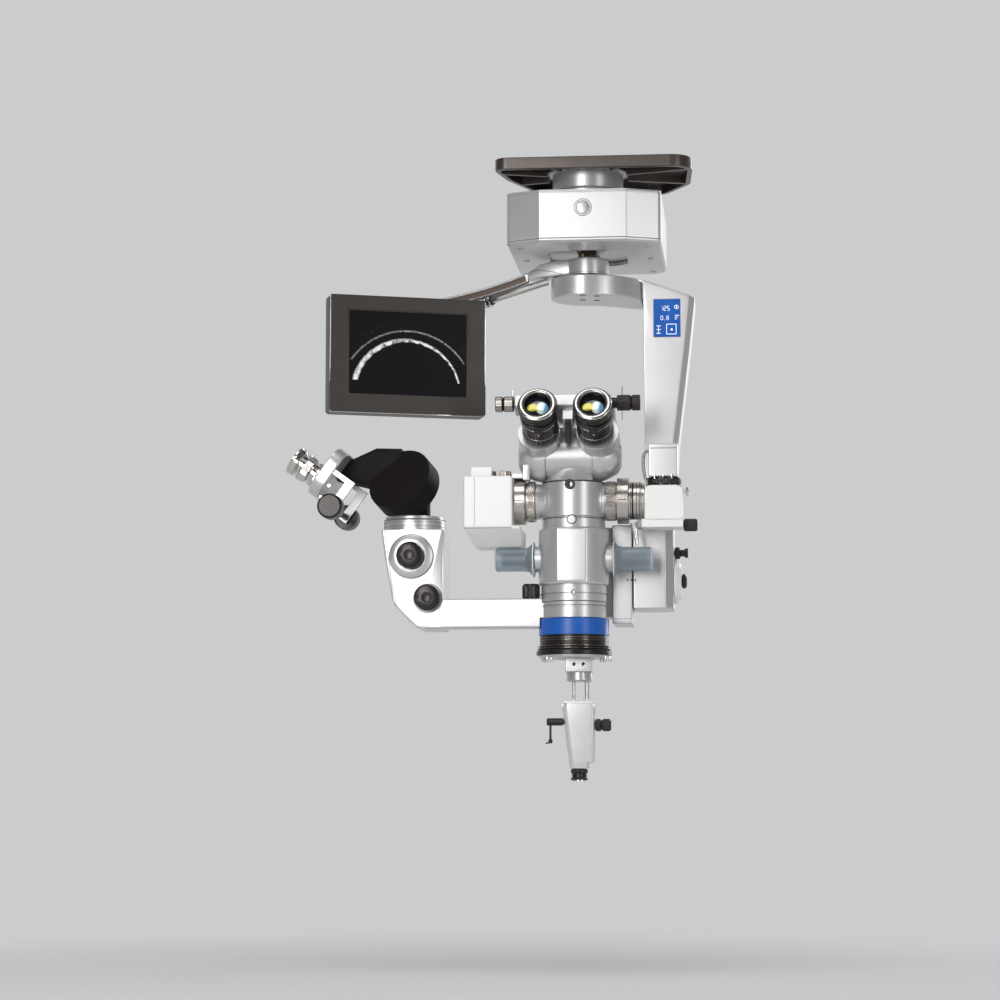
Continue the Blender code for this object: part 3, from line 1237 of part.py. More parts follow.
def assistant_arm(body, knob_body):
    """Angled arm: a ring round the column, a straight bar, and the upright housing."""
    front = ASSIST_FRONT
    corners = [(-232.0, ASSIST_TOP), (-227.0, -463.0), (-218.0, -512.0),
               (-191.0, ASSIST_ARM_FOOT), (ASSIST_RIGHT, ASSIST_ARM_FOOT),
               (ASSIST_RIGHT, ASSIST_TOP)]
    arm = slab("assistant_arm", rounded(corners, [3, 40, 26, 12, 0, 3], 3), ASSIST_DEPTH,
               LIGHT, body, (0, front + ASSIST_DEPTH, 0), "front")
    bar = block("arm_bar", (ASSIST_RIGHT - 12, front + 0.2, ASSIST_ARM_FOOT + 0.2),
                (AXIS_X - SWING_RING_RADIUS + 6, front + ASSIST_ARM_DEPTH, ASSIST_ARM_TOP),
                LIGHT, body)
    clearance = turned("arm_clearance", [
        (BLUE_RADIUS + 1.2, -560), (BLUE_RADIUS + 1.2, SWING_RING_FOOT + 1.1),
        (SWING_RING_RADIUS - 4.0, SWING_RING_FOOT + 1.1),
        (SWING_RING_RADIUS - 4.0, LOWER_FOOT - 1.3), (LOWER_RADIUS + 1.0, LOWER_FOOT - 1.3),
        (LOWER_RADIUS + 1.0, -490)], LIGHT, body, (AXIS_X, AXIS_Y, 0))
    soften(arm, 2.0, 2, 50)
    soften(bar, 2.0, 2)
    cut(bar, clearance)
    r = SWING_RING_RADIUS
    bore = LOWER_NECK + SLIDE_GAP
    ring = ringed("swing_ring", [
        (bore, SWING_RING_FOOT + GAP), (r, SWING_RING_FOOT + GAP), (r, LOWER_FOOT - GAP - 0.8),
        (r - 0.8, LOWER_FOOT - GAP), (bore, LOWER_FOOT - GAP)],
        LIGHT, body, (AXIS_X, AXIS_Y, 0))
    head = turned("head_swivel_ring", [
        (HEAD_RING_RADIUS, ASSIST_TOP - 2), (HEAD_RING_RADIUS, HEAD_RING_TOP - 5),
        (HEAD_RING_RADIUS - 1.8, HEAD_RING_TOP - 4), (HEAD_RING_RADIUS - 1.8, HEAD_RING_TOP)],
        LIGHT, body, (HEAD_AXIS_X, ASSIST_MID, 0))
    x, z = DIAL_CENTRE
    bezel = turned("dial_bezel", [
        (DIAL_RADIUS, -3.1), (DIAL_RADIUS, 3.5), (DIAL_RADIUS - 5.0, 6.0)],
        LIGHT, body, (x, front, z), "front")
    add(arm, bar, ring, bezel, head)
    holes = [rod("dial_hole", DIAL_KNOB_RADIUS + 1.6, 20, LIGHT, body, (x, front - 0.4, z), "front"),
             rod("dial_pin_hole", DIAL_KNOB_RADIUS - 4, 20, LIGHT, body, (x, front + 8, z),
                 "front"),
             rod("lower_hole", 4.4, 20, LIGHT, body, (LOWER_KNOB[0], front + 10, LOWER_KNOB[1]),
                 "front"),
             rod("clamp_hole", 3.4, 20, LIGHT, body, (CLAMP_X, AXIS_Y, ASSIST_ARM_TOP - 8)),
             rod("head_hole", HEAD_PIN_RADIUS + SLIDE_GAP, 20, LIGHT, body,
                 (HEAD_AXIS_X, ASSIST_MID, HEAD_RING_TOP - 12))]
    cut(arm, *holes, solver="MANIFOLD")
    profile = [(3.0, -7.0), (3.0, GAP), (9.2, GAP), (9.6, 1.4), (9.6, 15.5), (8.6, 17.0)]
    turned("arm_clamp_knob", profile, BLACK, knob_body, (CLAMP_X, AXIS_Y, ASSIST_ARM_TOP))
    return arm


def assistant_knobs(knob_body, low_body):
    """Focusing knob inside the bezel, and the lower knob."""
    front = ASSIST_FRONT
    x, z = DIAL_CENTRE
    k = DIAL_KNOB_RADIUS
    turned("assistant_focus_knob", [
        (k - 4.6, -7.0), (k - 4.6, 0.0), (k, 1.4), (k, 14.0), (k - 1.5, 16.0), (k - 6, 17.2)],
        BLACK, knob_body, (x, front - 5.2, z), "front")
    q = LOWER_KNOB_RADIUS
    turned("assistant_lower_knob", [
        (4.0, -8.0), (4.0, GAP), (q, GAP), (q, 11.0), (q - 1.5, 13.0), (q - 6, 14.0)], BLACK,
        low_body, (LOWER_KNOB[0], front, LOWER_KNOB[1]), "front")


def prism_head(body):
    """Black prism housing: a neck, a slanted drum and the arm toward the eyepieces."""
    foot = HEAD_RING_TOP + GAP
    pin = rod("head_pin", HEAD_PIN_RADIUS, 12, BLACK, body, (HEAD_AXIS_X, ASSIST_MID, foot - 10))
    sections = []
    for level, radius, shift in ((foot, 18, 0), (foot + 14, 19, -1), (foot + 34, 22, -3),
                                 (foot + 54, 21, -8)):
        sections.append([(HEAD_AXIS_X + shift + u, ASSIST_MID + v, level)
                         for u, v in circle(radius, 24)])
    head = loft("prism_head", sections, BLACK, body, (0, 0, 0))
    turn = (math.radians(PRISM_PITCH), 0.0, math.radians(PRISM_YAW))
    out = Euler(turn).to_matrix() @ Vector((0, 0, 1))
    drum = rod("prism_drum", PRISM_RADIUS, PRISM_THICKNESS, BLACK, body,
               tuple(Vector(PRISM_FACE) - out * PRISM_THICKNESS), turn=turn)
    soften(drum, 1.2, 2)
    end = side_place(SIDE_PLATE_START - GAP, 42)
    rows = ((-212.0, -358.0, 26.0, 19.0, 0.0), (-248.0, -353.0, 23.0, 18.0, 18.0),
            (end[0], end[2], 15.0, 16.0, SIDE_TUBE_SLOPE))
    loops = []
    for x, z, tall, wide, lean in rows:
        c, n = math.cos(math.radians(lean)), math.sin(math.radians(lean))
        loops.append([(x + v * n, ASSIST_MID + u, z + v * c)
                      for u, v in oblong(2 * wide, 2 * tall, 8, 2)])
    arm = loft("prism_arm", loops, BLACK, body, (0, 0, 0))
    floor = block("prism_floor", (-300, -150, foot - 40), (-100, 100, foot), BLACK, body)
    add(head, drum, arm)
    cut(head, floor)
    return add(head, pin)


def side_place(along, above, depth=0.0):
    """World place of a point along and above the assistant's eyepiece tubes."""
    slope = math.radians(SIDE_TUBE_SLOPE)
    x = SIDE_ORIGIN[0] - along * math.cos(slope) + above * math.sin(slope)
    z = SIDE_ORIGIN[1] + along * math.sin(slope) + above * math.cos(slope)
    return (x, ASSIST_MID + depth, z)


def side_turn():
    """Rotation that points local Z out of the assistant's eyepieces."""
    return (0.0, -math.radians(90 - SIDE_TUBE_SLOPE), 0.0)


def assistant_binocular(body):
    """White plate across the two tubes, with two straps that carry the cross bar."""
    start = SIDE_PLATE_START
    plate = slab("assistant_binocular", oblong(62, 108, 20, 4), SIDE_PLATE_THICKNESS, LIGHT,
                 body, side_place(start, 28), turn=side_turn())
    soften(plate, 1.8, 2, 50)
    along, above = SIDE_SPINDLE
    origin = side_place(0, 0)
    for side in (-1, 1):
        y = side * SIDE_STRAP
        strap = block(f"strap_{side}", (above - 6, y - 2.5, along - 5), (36, y + 2.5, along + 5),
                      LIGHT, body, side_turn(), origin)
        foot = block(f"strap_foot_{side}", (30, y - 2.5, along), (36, y + 2.5, start + 3),
                     LIGHT, body, side_turn(), origin)
        add(strap, foot)
        add(plate, strap)
    bore = rod("side_bore", 3.5 + SLIDE_GAP, 130, LIGHT, body, side_place(along, above, 65),
               "front")
    return cut(plate, bore)


def side_spindle(body):
    """Cross bar with a finger knob at each end, for the assistant's eye distance."""
    along, above = SIDE_SPINDLE
    h, k, b = SIDE_SPINDLE_HALF, 14.0, 3.5
    inner = SIDE_STRAP + 4
    profile = [(k - 2, 0.0), (k, 1.6), (k, h - inner), (b, h - inner), (b, h + inner),
               (k, h + inner), (k, 2 * h - 1.6), (k - 2, 2 * h)]
    return turned("side_spindle", profile, BLACK, body, side_place(along, above, h), "front")


def side_eyepiece(word, body):
    """Short bright eyepiece of the assistant, with a flared cup."""
    profile = [(9.0, 0.0), (13.5, 0.0), (13.5, 4.0), (11.5, 5.0), (11.5, 9.0), (14.5, 11.0),
               (14.5, 20.0), (12.5, 21.5), (12.5, 24.0), (16.5, 27.0), (17.0, 33.0),
               (15.0, 34.5), (11.0, 34.5), (9.0, 30.0)]
    return ringed(f"side_eyepiece_{word}", profile, STEEL, body, side_eye(word), turn=side_turn())


def side_eye(word):
    """World place of the foot of one of the assistant's eyepieces."""
    depth = SIDE_PUPIL_HALF * (-1 if word == "near" else 1)
    return side_place(SIDE_PLATE_START + SIDE_PLATE_THICKNESS + GAP, 18, depth)


# Viewer under the objective

def viewer_mount(body):
    """Swing plate with two pins, a block with sockets, a collar and the two guide rods."""
    top = BLACK_FOOT - GAP
    half = VIEWER_BLOCK / 2
    mount = block("viewer_mount", (VIEWER_X - half, AXIS_Y - half, VIEWER_BLOCK_FOOT),
                  (VIEWER_X + half, AXIS_Y + half, top - 2.0), SILVER, body)
    soften(mount, 1.2, 2)
    plate = turned("viewer_plate", [(FLANGE_RADIUS - 3.6, top - 3.0), (FLANGE_RADIUS - 3, top)],
                   SILVER, body, (AXIS_X, AXIS_Y, 0))
    windows = []
    for side in (-1, 1):
        x = AXIS_X + side * PIN_SPREAD
        reach = math.sqrt((FLANGE_RADIUS - 6) ** 2 - PIN_SPREAD ** 2)
        pin = turned(f"plate_pin_{side}", [(1.4, top - 8.0), (2.6, top - 7.0), (2.6, top - 5.2),
                                           (1.4, top - 4.4), (1.4, top - 1.5)], SILVER, body,
                     (x, AXIS_Y - reach, 0))
        add(plate, pin)
        window = rod(f"plate_window_{side}", LENS_RADIUS, 20, SILVER, body,
                     (AXIS_X, AXIS_Y, top - 12))
        keep = block(f"window_web_{side}", (-60, AXIS_Y - side * 70, top - 20),
                     (40, AXIS_Y + side * (half + 1), top + 20), SILVER, body)
        windows.append(cut(window, keep))
    cut(plate, *windows)
    collar = turned("viewer_collar", [(half - 2, VIEWER_COLLAR_FOOT),
                                      (half - 0.6, VIEWER_COLLAR_FOOT + 1.2),
                                      (half - 0.6, VIEWER_BLOCK_FOOT + 1)], SILVER, body,
                    (VIEWER_X, AXIS_Y, 0))
    add(mount, plate, collar)
    for word, radius, x in VIEWER_RODS:
        add(mount, rod(f"rod_{word}", radius, VIEWER_COLLAR_FOOT - ROD_FOOT + 2, STEEL, body,
                       (VIEWER_X + x, AXIS_Y, ROD_FOOT)))
    for x in (-5.0, 5.0):
        cut(mount, rod(f"mount_socket_{x}", 1.7, 6, BLACK, body,
                       (VIEWER_X + x, AXIS_Y - half + 3, -580.5), "front"))
    return mount


def viewer_housing(body):
    """Tapered lens housing, bored for the rods and for its focusing knob."""
    w = HOUSE_WIDTH / 2
    levels = ((HOUSE_TOP, -w, w, 15.0), (HOUSE_TOP - 6, -w - 1, w, 15.5),
              (-648.0, -w + 1.5, w - 0.4, 14.5), (-672.0, -w + 4.0, w - 0.8, 13.2),
              (-689.0, -w + 6.4, w - 1.2, 12.0), (-690.5, -w + 6.6, w - 7.2, 11.8),
              (HOUSE_FOOT, -w + 7.2, w - 8.0, 11.0))
    sections = []
    for z, left, right, deep in levels:
        corners = [(left, -deep), (right, -deep), (right, deep), (left, deep)]
        line = rounded(corners, [7, 4, 4, 7], 3)
        sections.append([(VIEWER_X + x, AXIS_Y + y, z) for x, y in line])
    housing = loft("viewer_housing", sections, WHITE, body, (0, 0, 0))
    for word, radius, x in VIEWER_RODS:
        cut(housing, rod(f"bore_{word}", radius + SLIDE_GAP, 64, WHITE, body,
                         (VIEWER_X + x, AXIS_Y, HOUSE_TOP - 62)))
    cut(housing, rod("viewer_knob_hole", 2.9, 14, WHITE, body,
                     (VIEWER_X + w - 8, AXIS_Y - 8.0, -648.2), "right"))
    cut(housing, rod("viewer_lever_hole", 2.9, 14, WHITE, body,
                     (VIEWER_X - w + 10, AXIS_Y - 8.0, -644.5), "left"))
    return housing


def viewer_lens(body):
    """Black front lens cell with a bright rim below the housing."""
    top = HOUSE_FOOT - GAP
    foot = VIEWER_LENS_FOOT
    x = VIEWER_X - 0.5
    return turned("viewer_lens", [
        (8.0, foot), (9.2, foot + 1.0), (9.2, foot + 3.0), (8.4, foot + 3.6),
        (8.4, foot + 8.0), (9.2, foot + 8.6), (9.2, top - 1.0), (8.6, top)], BLACK, body,
        (x, AXIS_Y, 0))


def viewer_controls(knob_body, lever_body):
    """Ribbed focusing knob on the right and the swing lever on the left."""
    w = HOUSE_WIDTH / 2
    knob = [(2.5, -7.0), (2.5, GAP), (5.0, GAP), (6.6, 1.5), (6.6, 6.5), (5.6, 7.2),
            (5.6, 8.2), (6.6, 8.9), (6.6, 17.0), (5.6, 18.2)]
    turned("viewer_knob", knob, BLACK, knob_body,
           (VIEWER_X + w - 0.4, AXIS_Y - 8.0, -648.2), "right")
    lever = turned("viewer_lever", [(2.5, -7.0), (2.5, GAP), (4.2, GAP), (4.2, 17.5), (3.4, 18.6)],
                   BLACK, lever_body, (VIEWER_X - w + 0.3, AXIS_Y - 8.0, -644.5), "left")
    wire = rod("lever_wire", 1.3, 20, BLACK, lever_body,
               (VIEWER_X - w - 14.2, AXIS_Y - 8.0, -645.5), "down")
    ball = turned("lever_tip", [(1.0, 0.0), (2.4, 1.0), (2.4, 4.0), (1.2, 5.0)], BLACK,
                  lever_body, (VIEWER_X - w - 14.2, AXIS_Y - 8.0, -663.5), "down")
    return add(lever, wire, ball)


def main():
    clear_scene()
    stand = pivot("stand", (0, 0, 0))
    stand_head(stand)

    xy_unit = pivot("xy_unit", (0, 0, BOX_TOP), stand)
    xy_housing(xy_unit)
    xy_base_plate(xy_unit)
    x_slide = pivot("x_slide", (0, 0, BOX_BOTTOM), xy_unit)
    x_carriage(x_slide)
    y_slide = pivot("y_slide", (0, 0, BOX_BOTTOM), x_slide)
    y_carriage(y_slide)

    end = blade_point(1.0)
    monitor_arm = pivot("monitor_arm", (0, 0, HUB_BOTTOM), y_slide)
    monitor_hub(monitor_arm)
    monitor_blade(monitor_arm)
    cable_tube(monitor_arm)
    pan = pivot("monitor_pan", (end.x, end.y, end.z), monitor_arm)
    monitor_bracket(pan)
    tilt = pivot("monitor_tilt", on_monitor(0, 0, -MONITOR_DEPTH - MONITOR_BACK_DEPTH - 8), pan)
    monitor(tilt)

    scope_arm = pivot("scope_arm", (0, 0, BEAM_TOP), y_slide)
    scope_beam(scope_arm)
    scope_upright(scope_arm)
    tilt_axis = (HOUSING_RIGHT, TILT_Y, TILT_Z)
    knob = pivot("tilt_knob_axis", tilt_axis, scope_arm)
    lock = pivot("tilt_lock_axis", (HOUSING_RIGHT, TILT_Y, TILT_Z + LOCK_RISE), scope_arm)
    tilt_controls(scope_arm, knob, lock)

    carriage = pivot("carriage", (CARRIAGE_RIGHT, TILT_Y, TILT_Z), scope_arm)
    tilt_carriage(carriage)
    focus_guide(carriage)

    scope = pivot("scope", (AXIS_X, AXIS_Y, PORT_Z), carriage)
    beam_splitter(scope)
    zoom_body(scope)
    lower_column(scope)
    for side in (-1, 1):
        place = (AXIS_X + side * ZOOM_RADIUS, AXIS_Y, CAP_Z)
        hand_grip(side, pivot(f"grip_axis_{side}", place, scope))

    binocular_base(scope)
    bino = pivot("bino_axis", (BINO_X, AXIS_Y, BINO_AXIS_Z), scope)
    binocular_body(bino)
    spindle_place = bino_place(0, SPINDLE_ALONG, SPINDLE_ABOVE)
    spindle = pivot("pd_axis", (0, spindle_place[1], spindle_place[2]), bino)
    pd_spindle(spindle)
    for side in (-1, 1):
        start = bino_place(side * PUPIL_HALF, BARREL_START + 4, TUBE_OFFSET)
        slide = pivot(f"eye_slide_{side}", start, bino)
        cup = pivot(f"eyecup_axis_{side}", start, slide)
        eyepiece(side, slide, cup)

    left_ring = pivot("left_port_axis", (PORT_LEFT, AXIS_Y, PORT_Z), scope)
    right_ring = pivot("right_port_axis", (PORT_RIGHT, AXIS_Y, PORT_Z), scope)
    port_ring(-1, left_ring)
    port_ring(1, right_ring)
    dial = pivot("scan_dial_axis", (SCAN_RIGHT - 14.2, AXIS_Y, SCAN_TOP - 0.5), scope)
    scan_camera(scope, dial)
    adapter_knob = pivot("adapter_knob_axis", (ADAPTER_RIGHT, AXIS_Y, ADAPTER_FOOT + 3.6), scope)
    video_adapter(scope, adapter_knob)
    middle = (ADAPTER_LEFT + ADAPTER_RIGHT) / 2
    focus_ring = pivot("camera_focus_axis", (middle, AXIS_Y, ADAPTER_TOP), scope)
    video_camera(focus_ring, scope)
    camera_cable(scope)

    swing = pivot("assistant_swing", (AXIS_X, AXIS_Y, SWING_RING_FOOT), scope)
    arm_knob = pivot("arm_knob_axis", (CLAMP_X, AXIS_Y, ASSIST_ARM_TOP), swing)
    assistant_arm(swing, arm_knob)
    front = ASSIST_FRONT
    fine_axis = pivot("assistant_knob_axis", (DIAL_CENTRE[0], front, DIAL_CENTRE[1]), swing)
    low_axis = pivot("lower_knob_axis", (LOWER_KNOB[0], front, LOWER_KNOB[1]), swing)
    assistant_knobs(fine_axis, low_axis)
    head_turn = pivot("head_turn", (HEAD_AXIS_X, ASSIST_MID, HEAD_RING_TOP), swing)
    prism_head(head_turn)
    assistant_binocular(head_turn)
    side_spindle(pivot("side_pd_axis", side_place(*SIDE_SPINDLE), head_turn))
    for word in ("near", "far"):
        side_eyepiece(word, pivot(f"side_slide_{word}", side_eye(word), head_turn))

    viewer_turn = pivot("viewer_turn", (AXIS_X, AXIS_Y, BLACK_FOOT), scope)
    viewer_mount(viewer_turn)
    viewer_slide = pivot("viewer_slide", (VIEWER_X, AXIS_Y, HOUSE_TOP), viewer_turn)
    viewer_housing(viewer_slide)
    viewer_lens(viewer_slide)
    knob_axis = pivot("viewer_knob_axis", (VIEWER_X, AXIS_Y - 8.0, -648.2), viewer_slide)
    lever_axis = pivot("viewer_lever_axis", (VIEWER_X, AXIS_Y - 8.0, -644.5), viewer_slide)
    viewer_controls(knob_axis, lever_axis)


main()
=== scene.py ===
"""Dresses the surgical microscope: finishes, knurls, screws, screens, lenses and the studio round it."""
import math

import bpy
import numpy as np
from bpy.props import FloatProperty, FloatVectorProperty, IntProperty, PointerProperty
from mathutils import Matrix, Vector


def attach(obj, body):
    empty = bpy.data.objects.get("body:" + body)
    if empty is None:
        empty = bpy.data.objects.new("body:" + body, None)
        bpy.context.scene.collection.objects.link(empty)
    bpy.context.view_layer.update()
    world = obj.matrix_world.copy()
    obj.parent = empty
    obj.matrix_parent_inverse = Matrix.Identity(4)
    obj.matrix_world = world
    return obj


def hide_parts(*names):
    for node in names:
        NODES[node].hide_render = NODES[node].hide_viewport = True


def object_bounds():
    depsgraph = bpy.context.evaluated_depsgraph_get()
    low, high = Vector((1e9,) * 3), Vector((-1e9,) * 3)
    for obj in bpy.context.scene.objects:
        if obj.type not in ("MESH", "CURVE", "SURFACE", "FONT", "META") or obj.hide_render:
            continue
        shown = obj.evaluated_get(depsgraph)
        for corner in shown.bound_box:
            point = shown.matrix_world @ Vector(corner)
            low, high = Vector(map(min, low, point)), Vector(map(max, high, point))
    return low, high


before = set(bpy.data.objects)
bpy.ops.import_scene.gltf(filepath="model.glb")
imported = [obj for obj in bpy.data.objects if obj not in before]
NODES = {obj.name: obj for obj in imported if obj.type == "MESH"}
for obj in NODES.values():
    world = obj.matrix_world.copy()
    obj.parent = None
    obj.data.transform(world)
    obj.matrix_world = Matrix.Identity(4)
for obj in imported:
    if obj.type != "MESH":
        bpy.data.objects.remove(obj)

bl_info = {
    "name": "Microscope Dressing",
    "version": (1, 0, 0),
    "blender": (4, 5, 0),
    "location": "View3D > Sidebar > Microscope",
    "description": "Finishes and fine pieces for the surgical microscope",
    "category": "Object",
}

CAD_BOX = [[float(v) for v in corner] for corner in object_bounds()]
MM = 0.001

# Places that several pieces share, in millimetres
COLUMN = (-14.5, -45.0)
BINO_TILT = math.radians(25.0)
NECK_EDGE = 0.0442  # radius of the stand's silver neck, in metres
PORT_Z = -396.0


# Fields: shader arithmetic


class Field:
    """One value socket inside a material, which takes part in plain arithmetic."""

    def __init__(self, finish, socket):
        self.finish = finish
        self.socket = socket

    def _sum(self, operation, *values):
        node = self.finish.nodes.new("ShaderNodeMath")
        node.operation = operation
        for slot, value in zip(node.inputs, values):
            self.finish.feed(slot, value)
        return Field(self.finish, node.outputs[0])

    def __add__(self, other):
        return self._sum("ADD", self, other)

    def __radd__(self, other):
        return self._sum("ADD", other, self)

    def __sub__(self, other):
        return self._sum("SUBTRACT", self, other)

    def __rsub__(self, other):
        return self._sum("SUBTRACT", other, self)

    def __mul__(self, other):
        return self._sum("MULTIPLY", self, other)

    def __rmul__(self, other):
        return self._sum("MULTIPLY", other, self)

    def __truediv__(self, other):
        return self._sum("DIVIDE", self, other)

    def __pow__(self, other):
        return self._sum("POWER", self, other)

    def __gt__(self, other):
        return self._sum("GREATER_THAN", self, other)

    def __lt__(self, other):
        return self._sum("LESS_THAN", self, other)

    def __abs__(self):
        return self._sum("ABSOLUTE", self)

    def most(self, other):
        """The larger of the two."""
        return self._sum("MAXIMUM", self, other)

    def least(self, other):
        """The smaller of the two."""
        return self._sum("MINIMUM", self, other)

    def wave(self):
        """The sine of the value."""
        return self._sum("SINE", self)

    def root(self):
        """The square root of the value."""
        return self._sum("SQRT", self)

    def within(self, low, high):
        """0 up to low, 1 from high, and a smooth step between."""
        return self.finish.node(
            "MapRange",
            {"interpolation_type": "SMOOTHSTEP", "clamp": True},
            {0: self, 1: low, 2: high, 3: 0.0, 4: 1.0},
        )


class Finish:
    """A material of one Principled shader, and the fields that feed it."""

    def __init__(self, name, slot, color, rough, metal=0.0, **constants):
        self.slot = slot
        self.material = bpy.data.materials.new(name)
        self.material.use_nodes = True
        self.material.diffuse_color = (*color[:3], 1.0)
        tree = self.material.node_tree
        self.nodes, self.links = tree.nodes, tree.links
        self.nodes.clear()
        self.output = self.nodes.new("ShaderNodeOutputMaterial")
        self.shader = self.nodes.new("ShaderNodeBsdfPrincipled")
        self.links.new(self.shader.outputs[0], self.output.inputs["Surface"])
        self.set("Base Color", color)
        self.set("Roughness", rough)
        self.set("Metallic", metal)
        for key, value in constants.items():
            self.set(key.replace("_", " ").title().replace("Ior", "IOR"), value)
        self._place = None

    def feed(self, slot, value):
        """Puts a number, a colour, a field or a socket into an input."""
        if isinstance(value, Field):
            self.links.new(value.socket, slot)
        elif isinstance(value, bpy.types.NodeSocket):
            self.links.new(value, slot)
        elif slot.type == "RGBA":
            slot.default_value = (*value[:3], 1.0)
        else:
            slot.default_value = value

    def node(self, kind, settings=None, values=None, output=0):
        """A node of any type: its settings first, then the values or links of its sockets."""
        made = self.nodes.new("ShaderNode" + kind)
        for key, value in (settings or {}).items():
            if key == "stops":
                ramp = made.color_ramp
                while len(ramp.elements) < len(value):
                    ramp.elements.new(0.5)
                for element, (at, color) in zip(ramp.elements, value):
                    element.position = at
                    element.color = (*color[:3], 1.0)
            else:
                setattr(made, key, value)
        for key, value in (values or {}).items():
            self.feed(made.inputs[key], value)
        return Field(self, made.outputs[output])

    def set(self, socket, value):
        """Sets one input of the shader."""
        self.feed(self.shader.inputs[socket], value)

    @property
    def place(self):
        """The point on the piece, in metres, in the frame of the whole object."""
        if self._place is None:
            self._place = self.node("TexCoord", output=3)
        return self._place

    def centred(self, centre, turn=(0.0, 0.0, 0.0), stretch=(1.0, 1.0, 1.0)):
        """The point counted from a centre in millimetres, in millimetres, turned back by the angles."""
        moved = self.node(
            "VectorMath",
            {"operation": "SUBTRACT"},
            {0: self.place, 1: tuple(MM * c for c in centre)},
        )
        turned = moved
        if any(turn):
            turned = self.node(
                "VectorRotate",
                {"rotation_type": "EULER_XYZ", "invert": True},
                {"Vector": moved, "Rotation": turn},
            )
        return self.node(
            "VectorMath",
            {"operation": "MULTIPLY"},
            {0: turned, 1: tuple(s / MM for s in stretch)},
        )

    def parts(self, vector):
        """The three numbers of a vector, as fields."""
        made = self.node("SeparateXYZ", None, {0: vector}).socket.node
        return [Field(self, socket) for socket in made.outputs]

    def noise(self, scale, detail=2.0, rough=0.5, where=None):
        """Soft noise between 0 and 1, about 0.5, scale per metre unless a place in millimetres is given."""
        return self.node(
            "TexNoise",
            {"noise_dimensions": "3D"},
            {
                "Vector": self.place if where is None else where,
                "Scale": scale,
                "Detail": detail,
                "Roughness": rough,
            },
        )

    def lines(self, value, scale, detail=1.0):
        """Noise along one number only, which draws lines across it."""
        return self.node(
            "TexNoise",
            {"noise_dimensions": "1D"},
            {"W": value, "Scale": scale, "Detail": detail},
        )

    def mix(self, factor, low, high):
        """One colour turning into another."""
        made = self.nodes.new("ShaderNodeMix")
        made.data_type = "RGBA"
        self.feed(made.inputs["Factor"], factor)
        self.feed(made.inputs[6], low)
        self.feed(made.inputs[7], high)
        return made.outputs[2]

    def bump(self, height, strength, reach, soften=0.0):
        """Relief on the shader's normal, over edges rounded by soften millimetres."""
        values = {"Height": height, "Strength": strength, "Distance": reach}
        if soften:
            values["Normal"] = self.rounded(soften)
        self.set("Normal", self.node("Bump", None, values))

    def rounded(self, radius):
        """The normal with its sharp edges rounded by a radius in millimetres."""
        return self.node("Bevel", {"samples": 6}, {"Radius": radius * MM})


# Finishes


def lacquer(name, slot, color, rough, metal=0.0, coat=0.25, soften=0.6):
    """Satin lacquer on a casting: fine flake, slow mottling and a faint orange peel."""
    finish = Finish(name, slot, color, rough, metal, coat_roughness=0.35)
    mottle = finish.noise(14.0, 3.0)
    flake = finish.noise(2400.0, 1.0)
    shade = mottle * 0.5 + flake * 0.5
    low = tuple(c * (0.90 - 0.05 * metal) for c in color)
    high = tuple(min(c * 1.07, 0.94) for c in color)
    finish.set("Base Color", finish.mix(shade, low, high))
    finish.set("Roughness", rough + (flake - 0.5) * 0.10 + (mottle - 0.5) * 0.08)
    finish.set("Coat Weight", coat + (mottle - 0.5) * 0.1)
    finish.bump(finish.noise(750.0, 2.0), 0.10, 0.0003, soften)
    return finish


def turned(name, slot, color, rough, metal, centre, turn=(0.0, 0.0, 0.0), cut=0.06, soften=0.35):
    """Metal or hard plastic cut on a lathe: rings round the axis in shade, gloss and relief.

    Distance from the axis and height along it are added up, and noise along that one number
    draws a ring wherever the number repeats. turn carries local Z onto the axis.
    """
    finish = Finish(name, slot, color, rough, metal)
    x, y, z = finish.parts(finish.centred(centre, turn))
    radius = (x * x + y * y).root()
    rings = finish.lines(radius * 1.1 + z * 0.9, 2.6, 2.0)
    wear = finish.noise(60.0, 3.0)
    low = tuple(c * 0.80 for c in color)
    high = tuple(min(c * 1.16, 0.95) for c in color)
    finish.set("Base Color", finish.mix(rings * 0.7 + wear * 0.3, low, high))
    finish.set("Roughness", rough + (rings - 0.5) * 0.16 + (wear - 0.5) * 0.06)
    finish.bump(rings, cut, 0.0002, soften)
    return finish


def moulded(name, slot, color, rough, soften=0.5, grain=1500.0):
    """Moulded plastic with a fine spark-eroded grain and a little hand shine."""
    finish = Finish(name, slot, color, rough)
    grit = finish.noise(grain, 2.0)
    shine = finish.noise(30.0, 3.0)
    low = tuple(c * 0.85 for c in color)
    high = tuple(c * 1.12 for c in color)
    finish.set("Base Color", finish.mix(shine, low, high))
    finish.set("Roughness", rough + (grit - 0.5) * 0.12 - (shine - 0.5) * 0.10)
    finish.bump(grit, 0.12, 0.0002, soften)
    return finish


# Forms: surfaces worked out as arrays


def unit(vector):
    """A vector of length one."""
    vector = np.asarray(vector, float)
    return vector / np.linalg.norm(vector)


def frame_of(centre, axis, side=None):
    """Origin and three unit columns: side, its partner, and the axis."""
    axis = unit(axis)
    if side is None:
        side = (1.0, 0.0, 0.0) if abs(axis[0]) < 0.9 else (0.0, 1.0, 0.0)
    side = np.asarray(side, float)
    side = unit(side - axis * (side @ axis))
    return np.asarray(centre, float), np.stack([side, np.cross(axis, side), axis])


